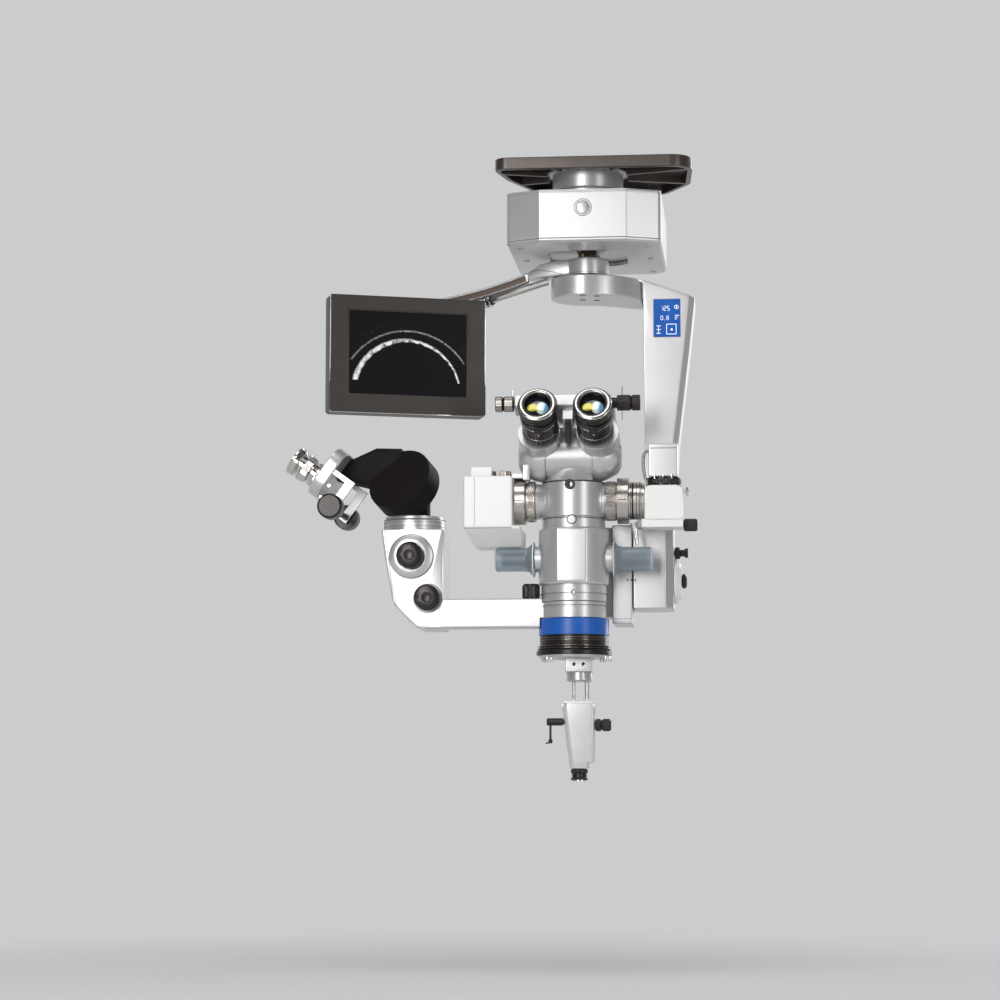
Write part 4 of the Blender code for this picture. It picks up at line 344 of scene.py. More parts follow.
class Form:
    """Grids of points gathered into one mesh, in millimetres."""

    def __init__(self):
        self.points, self.faces, self.count = [], [], 0

    def add(self, grid, round_u=True, ends=True, round_v=False):
        """Adds a grid of points, rows along v and columns round u, as quads, and closes its ends with fans.

        A quad joins point (v, u) to (v, u+1), (v+1, u+1) and (v+1, u). The signed volume of the
        whole part, the sum of a.(b x c)/6 over its triangles, says whether its faces point out.
        """
        grid = np.asarray(grid, float)
        rows, columns = grid.shape[:2]
        index = np.arange(rows * columns).reshape(rows, columns)
        if round_v:
            index = np.vstack([index, index[:1]])
        if round_u:
            index = np.hstack([index, index[:, :1]])
        a, b = index[:-1, :-1], index[:-1, 1:]
        c, d = index[1:, 1:], index[1:, :-1]
        quads = np.stack([a, b, c, d], -1).reshape(-1, 4)
        points = grid.reshape(-1, 3)
        fans = []
        if ends:
            for row, step in ((index[0], -1), (index[-1], 1)):
                hub = len(points)
                points = np.vstack([points, points[row[:columns]].mean(0)])
                pair = np.stack([row[:-1], row[1:]], -1)[:, ::step]
                fans.append(np.hstack([pair, np.full((len(pair), 1), hub)]))
        fans = np.vstack(fans) if fans else np.zeros((0, 3), int)
        thirds = np.vstack([quads[:, [0, 1, 2]], quads[:, [0, 2, 3]], fans])
        p, q, r = (points[thirds[:, k]] - points.mean(0) for k in range(3))
        if np.einsum("ij,ij->i", p, np.cross(q, r)).sum() < 0:
            quads, fans = quads[:, ::-1], fans[:, ::-1]
        self.points.append(points)
        self.faces += (quads + self.count).tolist() + (fans + self.count).tolist()
        self.count += len(points)
        return self

    def turn(self, profile, centre, axis, steps=48, closed=False, side=None):
        """Adds a turned part; a closed profile is a ring with a hole."""
        return self.add(lathed(profile, centre, axis, side, steps), True, not closed, closed)

    def ring(self, centre, axis, radius, bore, low, high, edge=0.15, steps=64):
        """Adds a flat ring between two heights."""
        profile = [(low, bore), (low, radius), (high - edge, radius), (high, radius - edge), (high, bore)]
        return self.turn(profile, centre, axis, steps, True)

    def knurl(self, *place, **cut):
        """Adds a cut sleeve."""
        return self.add(knurled(*place, **cut), True, False, True)

    def plate(self, width, height, thick, centre, axis, side, corner=0.5, edge=0.15, offset=(0.0, 0.0)):
        """Adds a thin rounded plate, its foot at the centre."""
        return self.add(slab(lambda inset: rounded(width, height, corner, inset), thick, centre, axis,
                             side, edge, offset))

    def bar(self, path, radius, steps=16, section=None, up=(0.0, 0.0, 1.0)):
        """Adds a bar along a path."""
        return self.add(swept(path, radius, steps, section, up))

    def piece(self, name, body, finish, sharp=32.0):
        """The finished object, riding on its body, its place in its mesh."""
        mesh = bpy.data.meshes.new(name)
        mesh.from_pydata(np.vstack(self.points) * MM, [], self.faces)
        mesh.update()
        mesh.shade_smooth()
        mesh.set_sharp_from_angle(angle=math.radians(sharp))
        mesh.materials.append(finish.material)
        made = bpy.data.objects.new(name, mesh)
        bpy.context.scene.collection.objects.link(made)
        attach(made, body)
        return made


def lathed(profile, centre, axis, side=None, steps=48):
    """A turned surface: P(u, v) = c + h(v) a + r(v) (cos u e + sin u f).

    The profile is a list of (height, radius) pairs.
    """
    origin, columns = frame_of(centre, axis, side)
    height, radius = np.asarray(profile, float).T
    u = np.linspace(0.0, 2.0 * np.pi, steps, endpoint=False)[None, :]
    ring = np.cos(u)[..., None] * columns[0] + np.sin(u)[..., None] * columns[1]
    return origin + height[:, None, None] * columns[2] + np.maximum(radius, 0.01)[:, None, None] * ring


def rounded(width, height, corner, inset=0.0, per_corner=6):
    """Outline of a rounded rectangle, moved inwards by inset: four arcs joined by straight runs."""
    w, h = width / 2.0 - inset, height / 2.0 - inset
    c = max(min(corner - inset, w, h), 0.02)
    turn = np.linspace(0.0, np.pi / 2.0, per_corner)
    angles = np.concatenate([turn + k * np.pi / 2.0 for k in range(4)])
    cx = np.repeat([w - c, c - w, c - w, w - c], per_corner)
    cy = np.repeat([h - c, h - c, c - h, c - h], per_corner)
    return np.stack([cx + c * np.cos(angles), cy + c * np.sin(angles)], -1)


def slab(outline, thickness, centre, axis, side=None, edge=0.2, offset=(0.0, 0.0)):
    """A thin plate: an outline carried up along the axis, drawn in by a quarter circle at its top edge.

    Row v stands at height t - e (1 - sin v) and is inset by e (1 - cos v). outline(inset) gives its points.
    """
    origin, columns = frame_of(centre, axis, side)
    v = np.linspace(0.0, np.pi / 2.0, 4)
    heights = np.concatenate([[0.0], thickness - edge * (1.0 - np.sin(v))])
    insets = np.concatenate([[0.0], edge * (1.0 - np.cos(v))])
    rows = [
        np.column_stack([outline(i) + np.asarray(offset), np.full(len(outline(i)), h)])
        for h, i in zip(heights, insets)
    ]
    return origin + np.stack(rows) @ columns


def swept(path, radius, steps=16, section=None, up=(0.0, 0.0, 1.0)):
    """A bar along a path: P(u, s) = p(s) + r(s) (x(u) n(s) + y(u) b(s)).

    n = up x t and b = t x n for the tangent t; x and y are a circle's or the section's.
    """
    path = np.asarray(path, float)
    tangent = np.gradient(path, axis=0)
    tangent /= np.linalg.norm(tangent, axis=1)[:, None]
    normals = np.cross(np.asarray(up, float), tangent)
    normals /= np.linalg.norm(normals, axis=1)[:, None]
    others = np.cross(tangent, normals)
    if section is None:
        u = np.linspace(0.0, 2.0 * np.pi, steps, endpoint=False)
        section = np.stack([np.cos(u), np.sin(u)], -1)
    r = np.broadcast_to(np.asarray(radius, float), len(path))[:, None, None]
    across, over = section[None, :, :1], section[None, :, 1:]
    return path[:, None] + r * across * normals[:, None] + r * over * others[:, None]


def eased(points, count):
    """Points on one smooth curve through the given ones.

    It is a cubic whose slope at each point is half the step between its neighbours.
    """
    p = np.asarray(points, float)
    p = np.vstack([2 * p[0] - p[1], p, 2 * p[-1] - p[-2]])
    t = np.linspace(0.0, len(p) - 3 - 1e-9, count)
    i, f = t.astype(int), (t - t.astype(int))[:, None]
    a, b, c, d = p[i], p[i + 1], p[i + 2], p[i + 3]
    return 0.5 * (2 * b + (c - a) * f + (2 * a - 5 * b + 4 * c - d) * f**2 + (3 * b - a - 3 * c + d) * f**3)


def button(radius, height, edge=0.2, bore=0.0, foot=-0.3):
    """Profile of a flat button, or of a washer where it has a bore."""
    outer = [(foot, radius), (height - edge, radius), (height, radius - edge)]
    return outer + [(height, bore + edge), (height - edge, bore), (foot, bore)] if bore else outer


def socket_head(radius, height=1.2):
    """Profile of a cap screw's head with its socket sunk in."""
    return [(-0.4, radius * 0.98), (height - 0.3, radius), (height, radius - 0.3),
            (height, radius * 0.52), (height * 0.25, radius * 0.46), (height * 0.2, 0.0)]


def knurled(centre, axis, radius, low, high, teeth, depth, twist=0.0, bevel=0.3, side=None):
    """A cut sleeve from low to high: r = R - d (1 - |cos(n u / 2 + w h)|), closed inside.

    A twist w in both directions leaves the diamonds of a cross knurl.
    """
    origin, columns = frame_of(centre, axis, side)
    rows = 5 if twist == 0.0 else max(7, int((high - low) * 1.6))
    h = np.concatenate([[low, low], np.linspace(low + bevel, high - bevel, rows), [high, high]])[:, None]
    r = np.concatenate([[radius - 0.6 - depth, radius - bevel], np.full(rows, radius),
                        [radius - bevel, radius - 0.6 - depth]])
    u = np.linspace(0.0, 2.0 * np.pi, teeth * (4 if twist == 0.0 else 6), endpoint=False)[None, :]
    ridge = np.minimum(np.abs(np.cos(teeth * u / 2.0 + twist * h)),
                       np.abs(np.cos(teeth * u / 2.0 - twist * h)))
    inside = np.concatenate([[0.0, 1.0], np.ones(rows), [1.0, 0.0]])[:, None]
    r = r[:, None] - depth * (1.0 - ridge) * inside
    ring = np.cos(u)[..., None] * columns[0] + np.sin(u)[..., None] * columns[1]
    return origin + h[..., None] * columns[2] + r[..., None] * ring


def paint(finish, *nodes):
    """Gives CAD nodes a finish."""
    for node in nodes:
        for slot in NODES[node].material_slots:
            slot.material = finish.material


# Smooth shading for the solids


def shading_group(limit):
    """Nodes that join a solid's loose triangles and shade them as one skin.

    Corners closer than a micrometre are merged, the stored normals are dropped, and an edge
    stays sharp only where its two faces meet at more than the limit.
    """
    group = bpy.data.node_groups.new("one_skin", "GeometryNodeTree")
    group.interface.new_socket("Geometry", in_out="INPUT", socket_type="NodeSocketGeometry")
    group.interface.new_socket("Geometry", in_out="OUTPUT", socket_type="NodeSocketGeometry")
    make = group.nodes.new
    start, finish = make("NodeGroupInput"), make("NodeGroupOutput")
    merge, drop = make("GeometryNodeMergeByDistance"), make("GeometryNodeRemoveAttribute")
    faces, edges = make("GeometryNodeSetShadeSmooth"), make("GeometryNodeSetShadeSmooth")
    angle, test = make("GeometryNodeInputMeshEdgeAngle"), make("FunctionNodeCompare")
    merge.inputs["Distance"].default_value = 1e-6
    drop.inputs["Name"].default_value = "custom_normal"
    edges.domain = "EDGE"
    test.operation = "LESS_THAN"
    test.inputs[1].default_value = limit
    links = (
        (start.outputs[0], merge.inputs[0]), (merge.outputs[0], drop.inputs[0]),
        (drop.outputs[0], faces.inputs[0]), (faces.outputs[0], edges.inputs[0]),
        (angle.outputs["Unsigned Angle"], test.inputs[0]),
        (test.outputs[0], edges.inputs["Shade Smooth"]),
        (edges.outputs[0], finish.inputs[0]),
    )
    for a, b in links:
        group.links.new(a, b)
    return group


def smooth_solids(limit=math.radians(33.0)):
    """Puts that skin on every CAD node, with normals weighted by the faces' areas."""
    group = shading_group(limit)
    for node in NODES.values():
        skin = node.modifiers.new("One skin", "NODES")
        skin.node_group = group
        weigh = node.modifiers.new("Weighted normals", "WEIGHTED_NORMAL")
        weigh.mode = "FACE_AREA_WITH_ANGLE"
        weigh.keep_sharp = True
        weigh.weight = 50


# What a user would change


class MicroscopeSettings(bpy.types.PropertyGroup):
    """Colours and sizes of the dressing."""

    silver: FloatVectorProperty(
        name="Silver lacquer", description="Colour of the castings and arms",
        subtype="COLOR", size=3, min=0.0, max=1.0, default=(0.56, 0.555, 0.565),
    )
    white: FloatVectorProperty(
        name="White lacquer", description="Colour of the scan camera and viewer housings",
        subtype="COLOR", size=3, min=0.0, max=1.0, default=(0.86, 0.86, 0.855),
    )
    ring_blue: FloatVectorProperty(
        name="Ring blue", description="Colour of the ring above the objective",
        subtype="COLOR", size=3, min=0.0, max=1.0, default=(0.008, 0.105, 0.46),
    )
    black: FloatVectorProperty(
        name="Black anodising", description="Colour of barrels and knobs",
        subtype="COLOR", size=3, min=0.0, max=1.0, default=(0.018, 0.014, 0.013),
    )
    satin: FloatProperty(
        name="Satin", description="Roughness of the lacquer",
        subtype="FACTOR", min=0.05, max=1.0, default=0.34,
    )
    knurl_depth: FloatProperty(
        name="Knurl depth", description="How deep knobs are cut, in millimetres",
        min=0.1, max=1.5, default=0.55,
    )
    knurl_teeth: IntProperty(
        name="Knurl teeth", description="Cuts round a 20 mm knob", min=12, max=90, default=34,
    )
    floor_drop: FloatProperty(
        name="Floor drop", description="Floor below the lowest piece",
        subtype="DISTANCE", unit="LENGTH", min=0.0, max=2.0, default=0.22,
    )
    ambient: FloatProperty(
        name="Ambient", description="Strength of the plain light from all round",
        min=0.0, max=2.0, default=0.42,
    )
    studio: FloatVectorProperty(
        name="Studio grey", description="Colour of floor and backdrop",
        subtype="COLOR", size=3, min=0.0, max=1.0, default=(0.60, 0.605, 0.61),
    )


def chosen():
    """The add-on's values."""
    return bpy.context.scene.microscope


class StageOperator(bpy.types.Operator):
    """Camera, lamps, floor and backdrop"""

    bl_idname = "microscope.stage"
    bl_label = "Stage"

    def execute(self, context):
        scene = context.scene
        scene.view_settings.view_transform = "Standard"
        self.camera(scene)
        self.world(scene)
        self.floor(scene)
        for name, place, aim, size, power, color in (
            ("key_softbox", (-0.85, -2.8, 0.15), (-0.02, 0.0, -0.32), (0.95, 1.7), 36.0,
             (1.0, 0.99, 0.975)),
            ("fill_softbox", (1.95, -2.2, -0.1), (0.0, 0.0, -0.35), (0.5, 1.6), 12.0, (1.0, 0.985, 0.97)),
            ("top_softbox", (-0.3, -1.2, 1.9), (-0.05, 0.0, -0.3), (1.6, 1.2), 16.0, (1.0, 1.0, 1.0)),
            ("rim_softbox", (1.3, 1.9, 0.3), (0.0, 0.0, -0.35), (0.5, 1.6), 16.0, (1.0, 1.0, 1.0)),
            ("low_softbox", (0.1, -1.6, -1.7), (0.0, 0.0, -0.4), (1.4, 0.6), 4.0, (1.0, 0.98, 0.95)),
        ):
            lamp = bpy.data.lights.new(name, "AREA")
            lamp.shape = "RECTANGLE"
            lamp.size, lamp.size_y = size
            lamp.energy = power
            lamp.color = color
            holder = bpy.data.objects.new(name, lamp)
            scene.collection.objects.link(holder)
            holder.location = place
            holder.rotation_euler = (Vector(aim) - Vector(place)).to_track_quat("-Z", "Y").to_euler()
        return {"FINISHED"}

    def camera(self, scene):
        """A 99 mm lens 3.2 m in front, a little to the right and below, looking up."""
        data = bpy.data.cameras.new("camera")
        data.lens, data.sensor_width = 99.0, 36.0
        data.clip_start, data.clip_end = 0.05, 60.0
        holder = bpy.data.objects.new("camera", data)
        scene.collection.objects.link(holder)
        holder.location = (0.1985, -3.1283, -0.7408)
        ahead = Vector((-0.0952, 0.9892, 0.1115))
        holder.rotation_euler = ahead.to_track_quat("-Z", "Y").to_euler()
        scene.camera = holder

    def world(self, scene):
        """Pale for the camera; for mirrors pale behind and dark in front; dim for plain light."""
        world = bpy.data.worlds.new("studio")
        scene.world = world
        world.use_nodes = True
        nodes, links = world.node_tree.nodes, world.node_tree.links
        nodes.clear()
        tone = tuple(chosen().studio)
        output = nodes.new("ShaderNodeOutputWorld")
        seen, dim, mirrored = (nodes.new("ShaderNodeBackground") for _ in range(3))
        seen.inputs[0].default_value = (*tone, 1.0)
        dim.inputs[0].default_value = (*tone, 1.0)
        dim.inputs[1].default_value = chosen().ambient
        where, part = nodes.new("ShaderNodeTexCoord"), nodes.new("ShaderNodeSeparateXYZ")
        links.new(where.outputs["Generated"], part.inputs[0])
        ramp = nodes.new("ShaderNodeMapRange")
        ramp.interpolation_type = "SMOOTHSTEP"
        for slot, value in zip(range(1, 5), (-0.35, 0.75, 0.16, 1.0)):
            ramp.inputs[slot].default_value = value
        links.new(part.outputs["Y"], ramp.inputs[0])
        mirrored.inputs[0].default_value = (*tone, 1.0)
        links.new(ramp.outputs[0], mirrored.inputs[1])
        rays = nodes.new("ShaderNodeLightPath")
        first, second = (nodes.new("ShaderNodeMixShader") for _ in range(2))
        reach = nodes.new("ShaderNodeMath")
        reach.operation = "MAXIMUM"
        links.new(rays.outputs["Is Camera Ray"], reach.inputs[0])
        links.new(rays.outputs["Is Transmission Ray"], reach.inputs[1])
        links.new(rays.outputs["Is Glossy Ray"], first.inputs[0])
        links.new(dim.outputs[0], first.inputs[1])
        links.new(mirrored.outputs[0], first.inputs[2])
        links.new(reach.outputs[0], second.inputs[0])
        links.new(first.outputs[0], second.inputs[1])
        links.new(seen.outputs[0], second.inputs[2])
        links.new(second.outputs[0], output.inputs[0])

    def floor(self, scene):
        """A wide disc under the object that fades into the backdrop's colour."""
        low = CAD_BOX[0][2] / MM - chosen().floor_drop / MM
        finish = Finish("floor_paint", "", tuple(min(c * 1.42, 0.9) for c in chosen().studio), 0.95)
        x, y = finish.parts(finish.place)[:2]
        away = (x * x + y * y).root().within(0.3, 1.3)
        glow = finish.node("Emission", None, {"Color": tuple(chosen().studio), "Strength": 1.0})
        blend = finish.node("MixShader", None, {0: away})
        finish.links.new(finish.shader.outputs[0], blend.socket.node.inputs[1])
        finish.links.new(glow.socket, blend.socket.node.inputs[2])
        finish.links.new(blend.socket, finish.output.inputs["Surface"])
        u = np.linspace(0.0, 2.0 * np.pi, 64, endpoint=False)
        rows = [np.column_stack([r * np.cos(u), r * np.sin(u), np.full(64, low)]) for r in (20000.0,
            500.0)]
        mesh = bpy.data.meshes.new("floor")
        form = Form().add(np.stack(rows), ends=False)
        points = np.vstack(form.points)
        faces = form.faces + [list(range(64, 128))]
        mesh.from_pydata(points * MM, [], faces)
        mesh.materials.append(finish.material)
        made = bpy.data.objects.new("floor", mesh)
        scene.collection.objects.link(made)


class CastingsOperator(bpy.types.Operator):
    """Lacquer, steel and anodising on the solids that keep their shape"""

    bl_idname = "microscope.castings"
    bl_label = "Castings and turned parts"

    def execute(self, context):
        smooth_solids()
        values = chosen()
        silver, white, black = tuple(values.silver), tuple(values.white), tuple(values.black)
        steel, blue = (0.62, 0.60, 0.58), tuple(values.ring_blue)
        satin = values.satin
        across, forward = (0.0, math.pi / 2.0, 0.0), (math.pi / 2.0, 0.0, 0.0)
        along_eyes = (-BINO_TILT + math.pi / 2.0, 0, 0)
        self.stand(silver, satin)
        paint(lacquer("cast_silver", "silver_lacquer", silver, satin, 0.85), "focus_guide",
              "viewer_mount", "scan_dial", "x_carriage")
        paint(turned("shaft_brown", "silver_lacquer", (0.13, 0.082, 0.058), 0.30, 0.8, (0, 0, -110)),
              "y_carriage")
        paint(
            lacquer("arm_lacquer", "light_lacquer", tuple(c * 1.12 for c in silver), satin, 0.68),
            "assistant_arm", "assistant_binocular", "binocular_base", "binocular_body", "monitor_blade",
            "monitor_hub", "scope_beam", "scope_upright", "tilt_carriage", "video_camera",
            "xy_base_plate", "xy_housing", "zoom_body", "beam_splitter",
        )
        paint(lacquer("white_lacquer", "white_lacquer", white, satin, 0.0), "scan_camera", "tilt_disc",
              "video_adapter")
        paint(lacquer("viewer_lacquer", "white_lacquer", (0.66, 0.66, 0.68), 0.30, 0.35),
              "viewer_housing")
        paint(turned("tube_steel", "bright_steel", steel, 0.28, 1.0, (0, 0, 0), across), "cable_tube")
        for node, place in (("left_port_ring", (-60, -45, PORT_Z)),
                            ("right_port_ring", (40, -45, PORT_Z))):
            paint(turned(node + "_steel", "bright_steel", (0.60, 0.56, 0.52), 0.24, 1.0, place, across),
                  node)
        paint(turned("side_steel", "bright_steel", (0.66, 0.64, 0.62), 0.14, 1.0, (-303.9, -25, -366.3),
                     (0, math.radians(-54), 0)), "side_eyepiece_near", "side_eyepiece_far")
        column = (*COLUMN, -550.0)
        paint(turned("ring_blue", "blue_ring", blue, 0.34, 0.0, column, soften=0.5), "blue_ring")
        paint(turned("mount_black", "black_anodised", black, 0.30, 0.35, column), "objective_mount")
        for node, place, turn in (
            ("adapter_knob", (108.8, -45, -423.9), across), ("tilt_knob", (96.5, 20, -482), across),
            ("tilt_lock_knob", (96.5, 20, -449.6), across), ("left_grip", (-54, -45, -461.5), across),
            ("right_grip", (25, -45, -461.5), across), ("arm_clamp_knob", (-63, -45, -506), (0, 0, 0)),
            ("camera_focus_ring", (87.4, -45, -380), (0, 0, 0)),
            ("viewer_knob", (-8.6, -53, -648.2), across),
            ("viewer_lever", (-8.6, -53, -644.5), across), ("viewer_lens", (-8.6, -45, -700), (0, 0, 0)),
            ("assistant_focus_knob", SCOPE_DIAL, forward),
            ("assistant_lower_knob", (-178.5, -60, -505.3), forward),
            ("pd_spindle", SPINDLE, across),
            ("side_spindle", (-285.5, -25, -403.5), forward),
            ("eyepiece_left", EYES["left"], along_eyes),
            ("eyepiece_right", EYES["right"], along_eyes),
            ("eyecup_left", EYES["left"], along_eyes),
            ("eyecup_right", EYES["right"], along_eyes),
        ):
            paint(turned(node + "_black", "black_anodised", black, 0.26, 0.25, place, turn), node)
        prism = moulded("prism_black", "black_anodised", (0.008, 0.006, 0.0055), 0.62)
        prism.set("Specular IOR Level", 0.16)
        paint(prism, "prism_head")
        paint(moulded("bracket_black", "black_anodised", black, 0.40), "monitor_bracket")
        paint(moulded("bezel_grey", "warm_grey_plastic", (0.036, 0.030, 0.026), 0.40), "monitor_housing")
        paint(moulded("cord_grey", "grey_cord", (0.42, 0.42, 0.42), 0.5), "camera_cable")
        lens = Finish("lens_coat", "coated_glass", (0.05, 0.08, 0.12), 0.04, 0.0, coat_weight=1.0)
        bloom = lens.noise(45.0, 2.0)
        lens.set("Base Color", lens.mix(bloom, (0.020, 0.045, 0.070), (0.075, 0.070, 0.160)))
        lens.set("Roughness", 0.03 + bloom * 0.04)
        paint(lens, "objective_lens")
        rubber = Finish("cap_silicone", "silicone", (0.66, 0.75, 0.82), 0.28, 0.0,
                        transmission_weight=0.82, ior=1.38)
        cloud = rubber.noise(60.0, 3.0)
        rubber.set("Roughness", 0.26 + cloud * 0.16)
        paint(rubber, "left_cap", "right_cap")
        return {"FINISHED"}

    def stand(self, silver, satin):
        """Silver neck, and painted shade outward from its edge: the casting there is coloured dark as if it
        lay in shadow.
        """
        finish = lacquer("stand_silver_and_painted_shade", "silver_lacquer", silver, satin, 0.7)
        x, y = finish.parts(finish.place)[:2]
        far = (x * x + y * y).root().within(NECK_EDGE, NECK_EDGE + 0.0004)
        grain = finish.noise(26.0, 3.0)
        pale = finish.mix(grain, tuple(c * 0.9 for c in silver), tuple(c * 1.06 for c in silver))
        # Painted shade: outside the neck the casting is coloured dark brown-grey, standing in for its
        # shadow.
        dark = finish.mix(grain, (0.060, 0.050, 0.044), (0.115, 0.100, 0.090))
        finish.set("Base Color", finish.mix(far, pale, dark))
        paint(finish, "stand_head")


# Shared finishes and places


LEFT, RIGHT, FRONT, BACK, UP, DOWN = (-1, 0, 0), (1, 0, 0), (0, -1, 0), (0, 1, 0), (0, 0, 1), (0, 0, -1)
MONITOR = (-205.0, -35.0, -224.2)
MONITOR_YAW, MONITOR_LEAN = math.radians(20.0), math.radians(0.9)
EYE_AXIS = (0.0, -math.cos(BINO_TILT), math.sin(BINO_TILT))
SPINDLE = (0.0, -75.77, -288.45)  # middle of the eyepieces' spindle
SCOPE_DIAL = (-197.5, -60.0, -457.8)  # middle of the assistant's dial
EYES = {"left": (-48.9, -77.45, -320.44), "right": (12.3, -77.45, -320.44)}
SIDE_AXIS = (-0.809, 0.0, 0.588)
SHARED = {}

# Seats of knobs and fittings, in millimetres
FOCUS_KNOB = (-197.5, -65.2, -457.8)  # foot of the upper knob on the assistant's arm
LOWER_KNOB = (-178.5, -60.0, -505.3)  # foot of the lower knob
CLAMP_KNOB = (-63.0, -45.0, -506.3)  # foot of the arm's clamp knob
TILT_KNOB = (96.8, 20.0, -482.0)  # seat of the tilt knob
LOCK_KNOB = (96.3, 20.0, -449.6)  # seat of the tilt lock
ADAPTER_KNOB = (109.3, -45.0, -423.9)  # seat of the adapter's knob
VIEWER_KNOB = (9.0, -53.0, -648.2)  # seat of the viewer's knob
VIEWER_LENS = (-9.1, -45.0, -710.0)  # foot of the viewer's lens
SCAN_DIAL = (-95.2, -45.0, -370.3)  # foot of the scan camera's dial
CAMERA_RING = (87.4, -45.0, -380.0)  # foot of the video camera's focus ring
COUPLING_CAP = (0.2, -95.0, -68.3)  # middle of the round cap on the coupling's face
SPLITTER_SCREW = (-16.3, -80.4, -380.3)  # screw at the top of the beam splitter
SPLITTER_BUTTON = (-14.6, -80.4, -419.8)  # button at its foot
ARM_DISPLAY = (90.5, 4.0, -178.5)  # middle of the display on the upright


def shared(name):
    """A finish that several pieces use, made once."""
    if name not in SHARED:
        SHARED[name] = {
            "chrome": lambda: scratched("chrome", (0.80, 0.79, 0.78), 0.14, 1.0, "bright_steel"),
            "screw_steel": lambda: scratched("screw_steel", (0.50, 0.49, 0.48), 0.26, 1.0,
                                             "bright_steel"),
            "knurl_black": lambda: scratched("knurl_black", (0.030, 0.026, 0.024), 0.28, 0.35,
                                             "black_anodised"),
            "knurl_steel": lambda: scratched("knurl_steel", (0.42, 0.39, 0.36), 0.24, 1.0,
                                             "bright_steel"),
            "seam": lambda: scratched("seam", (0.022, 0.020, 0.020), 0.55, 0.0, "black_anodised"),
            "soft_line": lambda: scratched("soft_line", (0.20, 0.19, 0.19), 0.5, 0.3, "silver_lacquer"),
            "brown_channel": lambda: scratched("brown_channel", (0.075, 0.048, 0.036), 0.34, 0.3,
                                               "black_anodised"),
            "ivory_button": lambda: scratched("ivory_button", (0.80, 0.78, 0.74), 0.3, 0.2,
                                              "white_lacquer"),
            "silver": lambda: lacquer("plate_silver", "silver_lacquer", tuple(chosen().silver),
                                      chosen().satin, 0.7),
            "white": lambda: lacquer("plate_white", "white_lacquer", tuple(chosen().white),
                                     chosen().satin, 0.0),
            "readout": lambda: scratched("readout", (0.85, 0.90, 0.95), 0.4, 0.0, "white_lacquer", 0.55),
        }[name]()
    return SHARED[name]


def scratched(name, color, rough, metal, slot, glow=0.0):
    """Polished or blackened metal with fine streaks, handling marks and a slightly uneven gloss."""
    finish = Finish(name, slot, color, rough, metal)
    streak = finish.noise(1.0, 2.0, 0.6, finish.centred((0, 0, 0), stretch=(0.25, 0.25, 3.0)))
    marks = finish.noise(90.0, 3.0)
    shade = streak * 0.5 + marks * 0.5
    finish.set("Base Color", finish.mix(shade, tuple(c * 0.82 for c in color),
                                        tuple(min(c * 1.15, 0.95) for c in color)))
    finish.set("Roughness", rough + (streak - 0.5) * 0.10 + (marks - 0.5) * 0.08)
    finish.bump(streak, 0.05, 0.0001, 0.15)
    if glow:
        finish.set("Emission Color", color)
        finish.set("Emission Strength", glow)
    return finish


def turn_of(axis, side):
    """Angles that carry local X onto the side and local Z onto the axis."""
    rows = frame_of((0, 0, 0), axis, side)[1]
    return tuple(Matrix(rows.T.tolist()).to_euler())


def along(start, axis, *reach):
    """Point at a distance along an axis, then along any more (direction, distance) pairs."""
    point = np.asarray(start, float) + unit(axis) * reach[0]
    for direction, distance in reach[1:]:
        point = point + unit(direction) * distance
    return point


def monitor_axes():
    """Right, up and out of the monitor's face."""
    out = np.array([math.sin(MONITOR_YAW), -math.cos(MONITOR_YAW), 0.0])
    side = np.array([math.cos(MONITOR_YAW), math.sin(MONITOR_YAW), 0.0])
    lean = np.array([0.0, 0.0, math.sin(MONITOR_LEAN)])
    out = unit(out * math.cos(MONITOR_LEAN) - lean)
    return side, np.cross(out, side), out


def on_monitor(right, up, out=0.0):
    """World place of a point on the monitor."""
    side, over, ahead = monitor_axes()
    return np.asarray(MONITOR) + side * right + over * up + ahead * out


SEGMENTS = {"0": "abcdef", "1": "bc", "2": "abged", "3": "abgcd", "4": "fgbc", "5": "afgcd",
            "8": "abcdefg"}
# Each stroke: its place in half widths and half heights, and whether it lies flat
STROKES = {
    "a": (0.0, 1.0, True), "b": (0.5, 0.5, False), "c": (0.5, -0.5, False), "d": (0.0, -1.0, True),
    "e": (-0.5, -0.5, False), "f": (-0.5, 0.5, False), "g": (0.0, 0.0, True),
}


def digits(form, text, place, height, axis, side, up, thick=0.25):
    """Plain seven-stroke numbers, each stroke a small rounded plate."""
    step, wide, stroke = height * 0.72, height * 0.5, height * 0.13
    place, side, up = (np.asarray(v, float) for v in (place, side, up))
    for k, sign in enumerate(text):
        for name in SEGMENTS.get(sign, ""):
            x, y, flat = STROKES[name]
            at = place + side * (k * step + x * wide) + up * (y * height / 2)
            size = (wide - stroke, stroke) if flat else (stroke, height / 2 - stroke)
            form.plate(*size, thick, at, axis, side, 0.1, 0.05)
        if sign == ".":
            at = place + side * (k * step - wide * 0.2) - up * (height / 2)
            form.plate(stroke, stroke, thick, at, axis, side, 0.1, 0.05)
    return form


